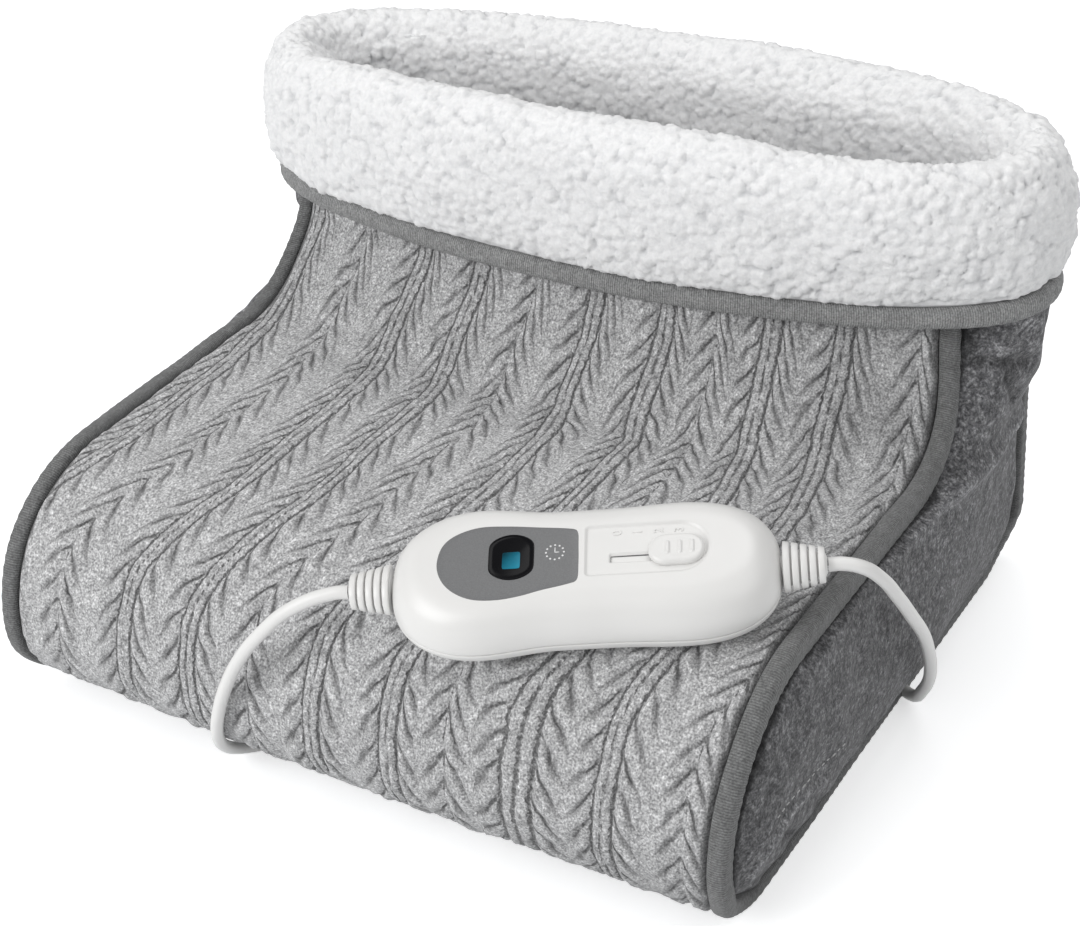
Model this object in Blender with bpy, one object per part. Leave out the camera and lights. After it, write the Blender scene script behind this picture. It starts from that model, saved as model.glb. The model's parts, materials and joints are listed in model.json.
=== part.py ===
"""Electric foot warmer: a padded knitted boot for both feet, its hand control and its cords.

X runs to the right, Y to the back and Z up, in metres. The boot stands on Z = 0 and its toe
points to -Y. The hand control lies on the toe, the mains cord passes under the sole, and its
spare length is coiled behind the heel.
"""
import math

import bmesh
import bpy
import numpy as np
from mathutils import Matrix, Vector

MM = 0.001
QUARTER = math.pi / 2

# Seat between two touching pieces, and how far a cutter runs past what it cuts
GAP = 0.3 * MM
OVERRUN = 2.0 * MM

# Side seam of the boot, seen from the side
TOE_FRONT = -140 * MM
TOE_TOP = 98 * MM
TOE_UPPER_RADIUS = 58 * MM
INSTEP_RADIUS = 52 * MM
NECK_FRONT = 72 * MM
SHELL_TOP = 196 * MM
HEEL_BACK = 142 * MM
HEEL_RADIUS = 26 * MM
BACK_BEND_RADIUS = 90 * MM
BACK_LEAN = math.radians(6.3)

# Half the width between the seams, and how it narrows at the sole and at the neck
SEAM_HALF = 150 * MM
SOLE_TUCK = 4.5 * MM
SOLE_TUCK_HEIGHT = 28 * MM
NECK_TUCK = 9 * MM
NECK_TUCK_RISE = 44 * MM

# The neck leans a little to the left
LEAN_DROP = 5.5 * MM
LEAN_START = 70 * MM
LEAN_RISE = 80 * MM

# How far the strip bows out between its seams
TOE_CROWN = 5 * MM
BACK_CROWN = 4 * MM
NECK_FRONT_CROWN = 25 * MM
NECK_BACK_CROWN = 24.5 * MM

# Oval of the neck, which the cuff follows
NECK_WIDER = 16.5 * MM
NECK_HALF_WIDTH = SEAM_HALF + NECK_WIDER
NECK_HALF_DEPTH = 53.5 * MM
OVAL_POWER = 2.25

# Layers of the strip, as depths in from its outer face
KNIT_THICK = 3 * MM
WADDING_THICK = 5.7 * MM
LINING_THICK = 5 * MM
SOLE_THICK = 7.5 * MM
CARRIER_THICK = 1.2 * MM
WIRE_SPACE = 2.9 * MM
SOLE_LINING_THICK = 4 * MM
STRIP_END_GAP = 0.3 * MM

# Sides, from their outer face inwards
SIDE_PROUD = 7.5 * MM
SIDE_INSET = 7.1 * MM
SIDE_BULGE = 7 * MM
SIDE_FABRIC_THICK = 3 * MM
SIDE_WADDING_THICK = 3.7 * MM
SIDE_LINING_THICK = 4 * MM
SIDE_LAYER_GAP = 1.4 * MM
BULGE_RISE = 50 * MM
BULGE_BACK_START = 0 * MM
BULGE_BACK_END = 70 * MM
NECK_BULGE_START = 90 * MM

# Binding tape round each side
BINDING_WIDTH = 8.5 * MM
BINDING_DEPTH = 6.7 * MM
BINDING_PROUD = 2 * MM
BINDING_ROUND = 3 * MM
BINDING_EDGE = 1.4 * MM
BINDING_FADE_START = 96 * MM
BINDING_FADE_RISE = 34 * MM

# Where the strip is cut into vamp, sole and back
SOLE_WRAP = math.radians(34)
HEEL_SPLIT = math.radians(45)

# Cuff: a turned-down collar that hangs outside the neck, and the tape along its hem
CUFF_CLEAR_WIDTH = 2.5 * MM
CUFF_CLEAR_DEPTH = 2 * MM
CUFF_HEM = 151.5 * MM
CUFF_RISE = 17.3 * MM
CUFF_THICK = 11 * MM
CUFF_HEM_THICK = 6 * MM
CUFF_INWARD = 20 * MM
CUFF_TAPE_HEIGHT = 11.7 * MM
CUFF_TAPE_THICK = 5.5 * MM
CUFF_TAPE_EDGE = 4 * MM
CUFF_STATIONS = 40

# Heating element on its felt carrier
CARRIER_INSET = 28 * MM
CARRIER_HALF_WIDTH = SEAM_HALF - CARRIER_INSET
CARRIER_FRONT = -88 * MM
CARRIER_BACK = 104 * MM
WIRE_RADIUS = 1.1 * MM
WIRE_RUNS = 7
WIRE_INSET = 26 * MM
WIRE_HALF_RUN = CARRIER_HALF_WIDTH - WIRE_INSET
WIRE_FRONT = -76 * MM
WIRE_BACK = 80 * MM
CUTOUT_SIZE = Vector((12, 6, 2.2)) * MM
CUTOUT_INSET = 11 * MM
CUTOUT_X = CARRIER_HALF_WIDTH - CUTOUT_INSET
THERMOSTAT_Y = -63 * MM
THERMAL_FUSE_Y = -11 * MM
JUNCTION_SIZE = Vector((14, 9, 2.2)) * MM
JUNCTION_INSET = 12 * MM
JUNCTION_X = CARRIER_HALF_WIDTH - JUNCTION_INSET
GROMMET_SIZE = Vector((17, 11, 5.6)) * MM

# Cords
CORD_RADIUS = 2.5 * MM
GROOVE_HALF_WIDTH = 3.2 * MM
GROOVE_HEIGHT = 5.9 * MM
INLET_GROOVE_HEIGHT = 6 * MM
MAINS_SPACING = 11 * MM
LEAD_SPACING = 9 * MM
TAIL_SPACING = 9 * MM
CURVE_STEPS = 24

# Coil of the spare mains cord
COIL_PITCH = 5.6 * MM
COIL_INNER = 20 * MM
COIL_TURNS_PER_LAYER = 3.25
COIL_STEPS = 24
COIL_Y = 208 * MM
TIE_WIDTH = 6 * MM
TIE_THICK = 0.8 * MM
TIE_CLEAR = 0.4 * MM
TIE_ANGLE = math.radians(100)

# Flat two-pin plug
PLUG_WIDTH = 35.3 * MM
PLUG_HEIGHT = 13.7 * MM
PLUG_LENGTH = 36 * MM
PLUG_NECK_WIDTH = 12 * MM
PLUG_NECK_LENGTH = 14 * MM
PLUG_RELIEF_LENGTH = 21 * MM
PLUG_RELIEF_RADIUS = 4 * MM
PIN_RADIUS = 2 * MM
PIN_LENGTH = 19 * MM
PIN_SPACING = 18.6 * MM
PIN_ROOT = 6 * MM

# Hand control, in its own frame: X along it, Z up through its face
CONTROL_FROM_SEAM = 68.5 * MM
CONTROL_FROM_TOE = 44.2 * MM
CONTROL_RAISED = 4.9 * MM
CONTROL_X = SEAM_HALF - CONTROL_FROM_SEAM
CONTROL_Y = TOE_FRONT + CONTROL_FROM_TOE
CONTROL_PLACE = Vector((CONTROL_X, CONTROL_Y, TOE_TOP + CONTROL_RAISED))
CONTROL_YAW = math.radians(26)
CONTROL_PITCH = math.radians(5.3)
CONTROL_ROLL = math.radians(18)
CONTROL_HALF_LENGTH = 68 * MM
CONTROL_HALF_WAIST = 26.4 * MM
CONTROL_HEIGHT = 24.5 * MM
CONTROL_PARTING = 9 * MM
LOBE_LEFT = 3.1 * MM
LOBE_RIGHT = 1.4 * MM
LOBE_PLACE = 42 * MM
LOBE_SPREAD = 34 * MM
END_POWER = 5.6
END_ROOT = 2.3
CASE_WALL = 2 * MM
CASE_POINTS = 36

# Features of its face
LABEL_LEFT = -50 * MM
LABEL_RIGHT = -0.8 * MM
LABEL_BULGE_X = -33 * MM
LABEL_HALF_LEFT = 15.7 * MM
LABEL_HALF_RIGHT = 11.4 * MM
LABEL_THICK = 0.8 * MM
LABEL_RECESS = 0.5 * MM
WINDOW_X = -24.1 * MM
WINDOW_RADIUS = 9.6 * MM
WINDOW_HALF_WIDTH = 7.7 * MM
LENS_STEP = 1.2 * MM
LENS_PROUD = 0.2 * MM
TROUGH_LEFT = 1.5 * MM
TROUGH_HALF = 9.4 * MM
TROUGH_DEPTH = 0.9 * MM
KNOB_LENGTH = 19.4 * MM
KNOB_WIDTH = 12.6 * MM
KNOB_HEIGHT = 2.2 * MM
KNOB_X = 32.7 * MM
KNOB_CLEAR = 0.35 * MM
KNOB_TRAVEL = 21 * MM
RIB_PITCH = 3.4 * MM
RIB_LENGTH = 6.6 * MM
RIB_WIDTH = 1.5 * MM
RIB_HEIGHT = 0.7 * MM
STEM_HALF = Vector((1.6, 1.2)) * MM
SLOT_HALF = 1.6 * MM

# Inside the hand control
BOARD_INSET = Vector((22, 9.4)) * MM
BOARD_HALF = Vector((CONTROL_HALF_LENGTH, CONTROL_HALF_WAIST)) - BOARD_INSET
BOARD_THICK = 1.6 * MM
BOARD_BOTTOM = 7.4 * MM
SWITCH_SIZE = Vector((34, 10, 4.6)) * MM
CONTACT_SIZE = Vector((9, 6, 1.6)) * MM
MODULE_SIZE = Vector((14, 16, 9)) * MM
FUSE_RADIUS = 2.4 * MM
FUSE_LENGTH = 18 * MM
FUSE_PLACE = Vector((-34, -13)) * MM
TRIAC_SIZE = Vector((10, 4, 11)) * MM
TRIAC_PLACE = Vector((4, 13)) * MM
CAPACITOR_SIZE = Vector((13, 6, 10)) * MM
CAPACITOR_PLACE = Vector((-4, 8)) * MM
SCREW_INSET = Vector((18, 15.9)) * MM
SCREW_PLACE = Vector((CONTROL_HALF_LENGTH, CONTROL_HALF_WAIST)) - SCREW_INSET
SCREW_RADIUS = 1.3 * MM
SCREW_HEAD_RADIUS = 2.6 * MM
SCREW_HEAD_HEIGHT = 1.6 * MM
SCREW_LENGTH = 11 * MM
BOSS_RADIUS = 2.9 * MM
BOSS_BOTTOM = 9.4 * MM
RELIEF_Z = 11 * MM
RELIEF_LENGTH = 15 * MM
RELIEF_ROOT = Vector((9.6, 7.4)) * MM
RELIEF_TIP = Vector((5.2, 4.6)) * MM
RELIEF_NECK = 4.2 * MM
RELIEF_FLANGE = 5.1 * MM
RELIEF_FLANGE_THICK = 1.5 * MM
RELIEF_FLANGE_SET = 2.2 * MM
RELIEF_RIBS = 5
RELIEF_RIB_DEPTH = 0.9 * MM

# Colours, roughness and metal of the finishes
FINISHES = {
    "knit": ((0.38, 0.38, 0.39), 0.95, 0.0),
    "side_fleece": ((0.13, 0.13, 0.14), 0.95, 0.0),
    "tape": ((0.2, 0.2, 0.2), 0.85, 0.0),
    "sherpa": ((0.82, 0.82, 0.82), 1.0, 0.0),
    "wadding": ((0.9, 0.9, 0.88), 1.0, 0.0),
    "felt": ((0.75, 0.75, 0.72), 1.0, 0.0),
    "heater": ((0.75, 0.2, 0.15), 0.5, 0.0),
    "cutout": ((0.6, 0.6, 0.62), 0.35, 1.0),
    "white_plastic": ((0.84, 0.84, 0.82), 0.35, 0.0),
    "cord_white": ((0.82, 0.82, 0.8), 0.45, 0.0),
    "label_grey": ((0.2, 0.2, 0.21), 0.4, 0.0),
    "window_black": ((0.01, 0.01, 0.012), 0.08, 0.0),
    "board": ((0.05, 0.25, 0.1), 0.5, 0.0),
    "component": ((0.06, 0.06, 0.07), 0.5, 0.0),
    "steel": ((0.6, 0.6, 0.62), 0.3, 1.0),
    "brass": ((0.75, 0.6, 0.3), 0.3, 1.0),
}


def ease(share):
    """Smooth step from 0 to 1."""
    share = min(max(share, 0.0), 1.0)
    return share * share * (3 - 2 * share)


# Helpers that make objects


def finish_material(name):
    """The finish called name, made once."""
    material = bpy.data.materials.get(name)
    if material is None:
        colour, roughness, metallic = FINISHES[name]
        material = bpy.data.materials.new(name)
        material.use_nodes = True
        shader = material.node_tree.nodes["Principled BSDF"]
        shader.inputs["Base Color"].default_value = (*colour, 1)
        shader.inputs["Roughness"].default_value = roughness
        shader.inputs["Metallic"].default_value = metallic
    return material


def add_object(name, data, finish, parent=None):
    """Links an object with its finish, under parent if one is given."""
    item = bpy.data.objects.new(name, data)
    bpy.context.collection.objects.link(item)
    item.parent = parent
    if finish:
        data.materials.append(finish_material(finish))
    return item


def mesh_object(name, points, faces, finish, parent=None, smooth=True):
    """A closed mesh whose faces are turned outwards."""
    mesh = bpy.data.meshes.new(name)
    build = bmesh.new()
    verts = [build.verts.new(point) for point in points]
    for face in faces:
        build.faces.new([verts[i] for i in face])
    bmesh.ops.recalc_face_normals(build, faces=build.faces)
    build.to_mesh(mesh)
    build.free()
    if smooth:
        mesh.shade_smooth()
        mesh.set_sharp_from_angle(angle=math.radians(40))
    return add_object(name, mesh, finish, parent)


def grid_solid(name, outer, inner, finish):
    """A sheet with thickness, between two grids of points of the same size."""
    rows = len(outer)
    columns = len(outer[0])
    points = [p for row in outer for p in row] + [p for row in inner for p in row]
    shift = rows * columns
    faces = []
    for i in range(rows - 1):
        for j in range(columns - 1):
            a = i * columns + j
            b, c, d = a + 1, a + columns + 1, a + columns
            faces += [(a, b, c), (a, c, d)]
            faces += [(a + shift, c + shift, b + shift), (a + shift, d + shift, c + shift)]
    edge = [j for j in range(columns)]
    edge += [i * columns + columns - 1 for i in range(1, rows)]
    edge += [(rows - 1) * columns + j for j in range(columns - 2, -1, -1)]
    edge += [i * columns for i in range(rows - 2, 0, -1)]
    for k, a in enumerate(edge):
        b = edge[(k + 1) % len(edge)]
        faces += [(a, b, b + shift), (a, b + shift, a + shift)]
    return mesh_object(name, points, faces, finish)


def loft(name, rings, finish, parent=None, closed=False, smooth=True):
    """Rings of points joined in order, capped at both ends or closed on themselves."""
    count = len(rings[0])
    points = [p for ring in rings for p in ring]
    faces = []
    last = len(rings) if closed else len(rings) - 1
    for i in range(last):
        a = i * count
        b = (i + 1) % len(rings) * count
        for j in range(count):
            k = (j + 1) % count
            faces.append((a + j, a + k, b + k, b + j))
    if not closed:
        faces.append(tuple(reversed(range(count))))
        faces.append(tuple(range((len(rings) - 1) * count, len(rings) * count)))
    return mesh_object(name, points, faces, finish, parent, smooth)


def box(name, centre, size, finish, parent=None):
    """A plain block."""
    signs = [(-1, -1), (1, -1), (1, 1), (-1, 1)]
    rings = [
        [centre + Vector((x * size[0], y * size[1], z * size[2])) / 2 for x, y in signs]
        for z in (-1, 1)
    ]
    return loft(name, rings, finish, parent, smooth=False)


def round_ring(centre, axis_u, axis_v, radius_u, radius_v, sides):
    """Points round an ellipse in the plane of two unit vectors."""
    turns = [2 * math.pi * i / sides for i in range(sides)]
    return [centre + axis_u * (radius_u * math.cos(t)) + axis_v * (radius_v * math.sin(t)) for t in turns]


def cylinder(name, start, end, radius, finish, parent=None, sides=12):
    """A round bar from start to end."""
    axis = (end - start).normalized()
    axis_u = axis.orthogonal().normalized()
    axis_v = axis.cross(axis_u)
    rings = [round_ring(p, axis_u, axis_v, radius, radius, sides) for p in (start, end)]
    return loft(name, rings, finish, parent)


def as_cutter(item):
    """Marks an object as a guide that is not part of the model."""
    item.hide_render = True
    item.display_type = "WIRE"
    return item


def cut(item, cutter, operation="DIFFERENCE"):
    """Adds a Boolean with a cutter."""
    modifier = item.modifiers.new(cutter.name, "BOOLEAN")
    modifier.operation = operation
    modifier.object = as_cutter(cutter)
    return modifier


# The side seam


def seam_runs():
    """Runs of the seam as (length, turn), from the front of the neck round to its back."""
    neck = SHELL_TOP - TOE_TOP - INSTEP_RADIUS
    plateau = NECK_FRONT - INSTEP_RADIUS - TOE_FRONT - TOE_UPPER_RADIUS
    lower = TOE_TOP - TOE_UPPER_RADIUS
    sole = HEEL_BACK - HEEL_RADIUS - TOE_FRONT - lower
    heel_top = HEEL_RADIUS * (1 + math.sin(BACK_LEAN))
    bend_rise = BACK_BEND_RADIUS * math.sin(BACK_LEAN)
    back = (SHELL_TOP - neck - heel_top - bend_rise) / math.cos(BACK_LEAN)
    return [
        (neck, 0.0),
        (INSTEP_RADIUS * QUARTER, -QUARTER),
        (plateau, 0.0),
        (TOE_UPPER_RADIUS * QUARTER, QUARTER),
        (lower * QUARTER, QUARTER),
        (sole, 0.0),
        (HEEL_RADIUS * (QUARTER + BACK_LEAN), QUARTER + BACK_LEAN),
        (back, 0.0),
        (BACK_BEND_RADIUS * BACK_LEAN, -BACK_LEAN),
        (neck, 0.0),
    ]


def walk(y, z, heading, length, turn, part):
    """Goes the first part of a run, and gives the place and heading there."""
    if turn == 0.0:
        return y + part * math.cos(heading), z + part * math.sin(heading), heading
    radius = length / turn
    end = heading + part / radius
    return (
        y + radius * (math.sin(end) - math.sin(heading)),
        z - radius * (math.cos(end) - math.cos(heading)),
        end,
    )


def lay_out_seam():
    """Each run with its start, heading and distance from the neck."""
    y, z, heading, distance = NECK_FRONT, SHELL_TOP, -QUARTER, 0.0
    runs = []
    for length, turn in seam_runs():
        runs.append((y, z, heading, length, turn, distance))
        y, z, heading = walk(y, z, heading, length, turn, length)
        distance += length
    return runs


SEAM = lay_out_seam()
NECK, INSTEP, PLATEAU, TOE_UPPER, TOE_LOWER, SOLE, HEEL, BACK, BEND, NECK_BACK = range(10)


def along(run, share):
    """Distance of a place on a run, given as a share of it."""
    return SEAM[run][5] + SEAM[run][3] * share


def seam_at(distance):
    """Place on the side seam and the direction out of the boot there."""
    for y, z, heading, length, turn, start in SEAM:
        if distance <= start + length + 1e-9:
            break
    y, z, heading = walk(y, z, heading, length, turn, distance - start)
    return y, z, math.sin(heading), -math.cos(heading)


WRAP_SEAM = along(TOE_LOWER, 1 - SOLE_WRAP / QUARTER)
HEEL_SEAM = along(HEEL, HEEL_SPLIT / (QUARTER + BACK_LEAN))


def half_width(z):
    """Half the width between the seams at a height."""
    sole = SOLE_TUCK * (1 - ease(z / SOLE_TUCK_HEIGHT))
    neck = NECK_TUCK * ease((z - TOE_TOP) / NECK_TUCK_RISE)
    return SEAM_HALF - sole - neck


def leaned(x, y, z):
    """The neck's lean, which every soft piece follows."""
    return Vector((x, y, z + LEAN_DROP * x / SEAM_HALF * ease((z - LEAN_START) / LEAN_RISE)))


def oval_share(share, power=OVAL_POWER):
    """How far an oval of half axes 1 reaches at a share of its other half axis."""
    return max(1 - abs(share) ** power, 0.0) ** (1 / power)


def neck_bow(x_share):
    """The neck's oval as a bow between its seams, 1 in the middle and 0 at the seams."""
    edge_share = (SEAM_HALF - NECK_TUCK) / NECK_HALF_WIDTH
    edge = oval_share(edge_share)
    return (oval_share(x_share * edge_share) - edge) / (1 - edge)


def bow(distance, x_share, out_y, out_z):
    """How far the strip's face stands out from the line between its seams."""
    front_low, front_high = along(PLATEAU, 0.5), along(INSTEP, 0.5)
    front = ease((front_low - distance) / (front_low - front_high))
    back_low, back_high = along(BACK, 0.5), along(BEND, 0.0)
    back = ease((distance - back_low) / (back_high - back_low))
    toe = TOE_CROWN * (1 - front) * ease((WRAP_SEAM - distance) / (WRAP_SEAM - along(TOE_LOWER, 0)))
    heel = BACK_CROWN * (1 - back) * ease((distance - HEEL_SEAM) / (along(BACK, 0.3) - HEEL_SEAM))
    swell = (toe + heel) * (1 - x_share**2)
    shift = neck_bow(x_share) * (NECK_BACK_CROWN * back - NECK_FRONT_CROWN * front)
    return out_y * swell + shift, out_z * swell


def strip_point(distance, x_share, depth):
    """A point of the strip at a depth in from its outer face."""
    y, z, out_y, out_z = seam_at(distance)
    bow_y, bow_z = bow(distance, x_share, out_y, out_z)
    x = x_share * (half_width(z) - STRIP_END_GAP)
    return leaned(x, y + bow_y - out_y * depth, z + bow_z - out_z * depth)


# The boot's panels

X_SHARES = (-1.0, -0.82, -0.5, 0.0, 0.5, 0.82, 1.0)


def stations(*runs):
    """Distances along the seam: each run is (start, end, steps)."""
    out = [runs[0][0]]
    for start, end, steps in runs:
        out += [start + (end - start) * (i + 1) / steps for i in range(steps)]
    return out


def strip_panel(name, distances, depth, thick, finish):
    """One layer of the strip between two seams across it."""
    outer = [[strip_point(d, x, depth) for x in X_SHARES] for d in distances]
    inner = [[strip_point(d, x, depth + thick) for x in X_SHARES] for d in distances]
    return grid_solid(name, outer, inner, finish)


def vamp_stations():
    """From the top of the neck's front down to the seam under the toe."""
    return stations(
        (along(NECK, 0), along(INSTEP, 0), 2),
        (along(INSTEP, 0), along(PLATEAU, 0), 5),
        (along(PLATEAU, 0), along(TOE_UPPER, 0), 3),
        (along(TOE_UPPER, 0), along(TOE_LOWER, 0), 5),
        (along(TOE_LOWER, 0), WRAP_SEAM - GAP / 2, 3),
    )


def sole_stations():
    """From the seam under the toe to the seam behind the heel."""
    return stations(
        (WRAP_SEAM + GAP / 2, along(SOLE, 0), 2),
        (along(SOLE, 0), along(HEEL, 0), 3),
        (along(HEEL, 0), HEEL_SEAM - GAP / 2, 2),
    )


def back_stations():
    """From the seam behind the heel up to the top of the neck's back."""
    return stations(
        (HEEL_SEAM + GAP / 2, along(BACK, 0), 2),
        (along(BACK, 0), along(BEND, 0), 6),
        (along(BEND, 0), along(NECK_BACK, 1), 2),
    )


def ribbon_cutter(name, route, half, top):
    """A groove's cutter: a ribbon along a route in plan, from under the floor to its top."""
    left, right = [], []
    for i, point in enumerate(route):
        before = route[max(i - 1, 0)]
        after = route[min(i + 1, len(route) - 1)]
        side = Vector((before.y - after.y, after.x - before.x)).normalized() * half
        left.append((point.x + side.x, point.y + side.y))
        right.append((point.x - side.x, point.y - side.y))
    outline = left + right[::-1]
    rings = [[Vector((x, y, z)) for x, y in outline] for z in (-OVERRUN, top)]
    return loft(name, rings, None, smooth=False)


def make_strip():
    """Vamp, sole and back, each in its layers."""
    vamp, sole, back = vamp_stations(), sole_stations(), back_stations()
    wadding = KNIT_THICK + GAP
    lining = wadding + WADDING_THICK + GAP
    strip_panel("vamp_panel", vamp, 0.0, KNIT_THICK, "knit")
    strip_panel("vamp_wadding", vamp, wadding, WADDING_THICK, "wadding")
    strip_panel("vamp_lining", vamp, lining, LINING_THICK, "sherpa")
    strip_panel("back_panel", back, 0.0, KNIT_THICK, "knit")
    strip_panel("back_wadding", back, wadding, WADDING_THICK, "wadding")
    strip_panel("back_lining", back, lining, LINING_THICK, "sherpa")
    pad = strip_panel("sole_panel", sole, 0.0, SOLE_THICK, "side_fleece")
    cut(pad, ribbon_cutter("mains_groove", groove_route(), GROOVE_HALF_WIDTH, GROOVE_HEIGHT))
    cut(pad, ribbon_cutter("inlet_groove", inlet_route(), GROOVE_HALF_WIDTH, INLET_GROOVE_HEIGHT))
    cut(pad, grommet_pocket())
    sole_lining = SOLE_THICK + GAP + CARRIER_THICK + WIRE_SPACE
    strip_panel("sole_lining", sole, sole_lining, SOLE_LINING_THICK, "sherpa")


# The sides

FRONT_SPLIT = ((TOE_LOWER, 4), (TOE_UPPER, 5), (PLATEAU, 3), (INSTEP, 5), (NECK, 2))
HEEL_ROWS, LOW_ROWS, HIGH_ROWS, NECK_ROWS = 4, 8, 5, 2
BACK_MEET = 0.46
T_SHARES = (0.0, 0.12, 0.3, 0.5, 0.7, 0.88, 1.0)


def side_rows():
    """Pairs of places on the seam's front and back that a row of the side joins."""
    front = [along(run, 1 - i / n) for run, n in FRONT_SPLIT for i in range(n)] + [along(NECK, 0)]
    back = stations(
        (along(HEEL, 0), along(BACK, 0), HEEL_ROWS),
        (along(BACK, 0), along(BACK, BACK_MEET), LOW_ROWS),
        (along(BACK, BACK_MEET), along(NECK_BACK, 0), HIGH_ROWS),
        (along(NECK_BACK, 0), along(NECK_BACK, 1), NECK_ROWS),
    )
    return list(zip(front, back))


def side_swell(y, z):
    """How far the side's face stands out past its edge."""
    up = min(max(z / TOE_TOP, 0.0), 1.0)
    low = 4 * up * (1 - up)
    heel = ease((y - BULGE_BACK_START) / (BULGE_BACK_END - BULGE_BACK_START))
    swell = SIDE_BULGE * (low * (1 - heel) + ease(z / BULGE_RISE) * heel)
    span = (HEEL_BACK - TOE_FRONT) / 2
    middle = (HEEL_BACK + TOE_FRONT) / 2
    swell *= max(1 - abs((y - middle) / span) ** 4, 0.0)
    neck_middle = NECK_FRONT - NECK_FRONT_CROWN + NECK_HALF_DEPTH
    oval = NECK_HALF_WIDTH * oval_share((y - neck_middle) / NECK_HALF_DEPTH)
    neck = oval - SIDE_PROUD - half_width(SHELL_TOP)
    blend = ease((z - NECK_BULGE_START) / (SHELL_TOP - INSTEP_RADIUS - NECK_BULGE_START))
    return swell * (1 - blend) + neck * blend


def side_grid(sign, inset, drop):
    """Points of a side's layer, inset from the seam and dropped in from the outer face."""
    grid = []
    for front, back in side_rows():
        y0, z0, out_y0, out_z0 = seam_at(front)
        y1, z1, out_y1, out_z1 = seam_at(back)
        start = Vector((y0 - out_y0 * inset, z0 - out_z0 * inset))
        end = Vector((y1 - out_y1 * inset, z1 - out_z1 * inset))
        row = []
        for t in T_SHARES:
            y, z = start.lerp(end, t)
            x = half_width(z) + SIDE_PROUD + side_swell(y, z) - drop
            row.append(leaned(sign * x, y, z))
        grid.append(row)
    return grid


def make_side(side, sign):
    """The fabric, wadding and lining of one side."""
    wadding = SIDE_FABRIC_THICK + GAP
    lining = wadding + SIDE_WADDING_THICK + SIDE_LAYER_GAP
    stack = SOLE_THICK + GAP + CARRIER_THICK + WIRE_SPACE + SOLE_LINING_THICK
    layers = (
        ("side_panel", SIDE_INSET, 0.0, SIDE_FABRIC_THICK, "side_fleece"),
        ("side_wadding", SIDE_INSET, wadding, SIDE_WADDING_THICK, "wadding"),
        ("side_lining", stack + GAP, lining, SIDE_LINING_THICK, "sherpa"),
    )
    for name, inset, drop, thick, finish in layers:
        outer = side_grid(sign, inset, drop)
        inner = side_grid(sign, inset, drop + thick)
        grid_solid(f"{name}_{side}", outer, inner, finish)


def binding_stations():
    """Down the front, under the sole and up the back."""
    return stations(
        (along(NECK, 0), along(INSTEP, 0), 2),
        (along(INSTEP, 0), along(PLATEAU, 0), 5),
        (along(PLATEAU, 0), along(TOE_UPPER, 0), 3),
        (along(TOE_UPPER, 0), along(TOE_LOWER, 0), 5),
        (along(TOE_LOWER, 0), along(SOLE, 0), 4),
        (along(SOLE, 0), along(HEEL, 0), 3),
        (along(HEEL, 0), along(BACK, 0), 4),
        (along(BACK, 0), along(BEND, 0), 6),
        (along(BEND, 0), along(NECK_BACK, 1), 2),
    )


def binding_proud(distance):
    """The tape is proud of the strip, but flat on the floor and under the cuff."""
    toe = ease((along(TOE_LOWER, 0.75) - distance) / (along(TOE_LOWER, 0.75) - along(TOE_LOWER, 0.2)))
    heel = ease((distance - along(HEEL, 0.25)) / (along(HEEL, 0.8) - along(HEEL, 0.25)))
    neck = 1 - ease((seam_at(distance)[1] - BINDING_FADE_START) / BINDING_FADE_RISE)
    return BINDING_PROUD * max(toe, heel) * neck


def binding_ring(sign, distance):
    """The tape's section at one place on the seam."""
    y, z, out_y, out_z = seam_at(distance)
    proud = binding_proud(distance)
    depth = BINDING_DEPTH
    wide, edge, turn = BINDING_WIDTH, BINDING_EDGE, BINDING_ROUND
    section = (
        (0.0, -depth),
        (0.0, proud - edge),
        (edge, proud),
        (wide - turn, proud),
        (wide - turn / 3, proud - turn / 3),
        (wide, proud - turn),
        (wide, edge - depth),
        (wide - edge, -depth),
    )
    x = half_width(z)
    return [leaned(sign * (x + a), y + out_y * b, z + out_z * b) for a, b in section]


def make_binding(side, sign):
    """The tape that closes a side's seams, notched on the right where the heater lead comes in."""
    tape = loft(f"side_binding_{side}", [binding_ring(sign, d) for d in binding_stations()], "tape")
    if sign > 0:
        route = inlet_route()
        cut(tape, ribbon_cutter("binding_notch", route, GROOVE_HALF_WIDTH, INLET_GROOVE_HEIGHT))


# The cuff


def neck_middle_y():
    """Middle of the neck's oval."""
    return NECK_FRONT - NECK_FRONT_CROWN + NECK_HALF_DEPTH


def cuff_point(turn, outward, z):
    """A point at an angle round the neck, outward from the cuff's inner face."""
    wide = NECK_HALF_WIDTH + CUFF_CLEAR_WIDTH + outward
    deep = NECK_HALF_DEPTH + CUFF_CLEAR_DEPTH + outward
    cos, sin = math.cos(turn), math.sin(turn)
    x = wide * math.copysign(abs(cos) ** (2 / OVAL_POWER), cos)
    y = deep * math.copysign(abs(sin) ** (2 / OVAL_POWER), sin)
    return leaned(x, neck_middle_y() + y, z)


def ring_solid(name, section, finish):
    """A closed ring round the neck with one section all the way."""
    turns = [2 * math.pi * i / CUFF_STATIONS for i in range(CUFF_STATIONS)]
    rings = [[cuff_point(t, outward, z) for outward, z in section] for t in turns]
    return loft(name, rings, finish, closed=True)


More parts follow.
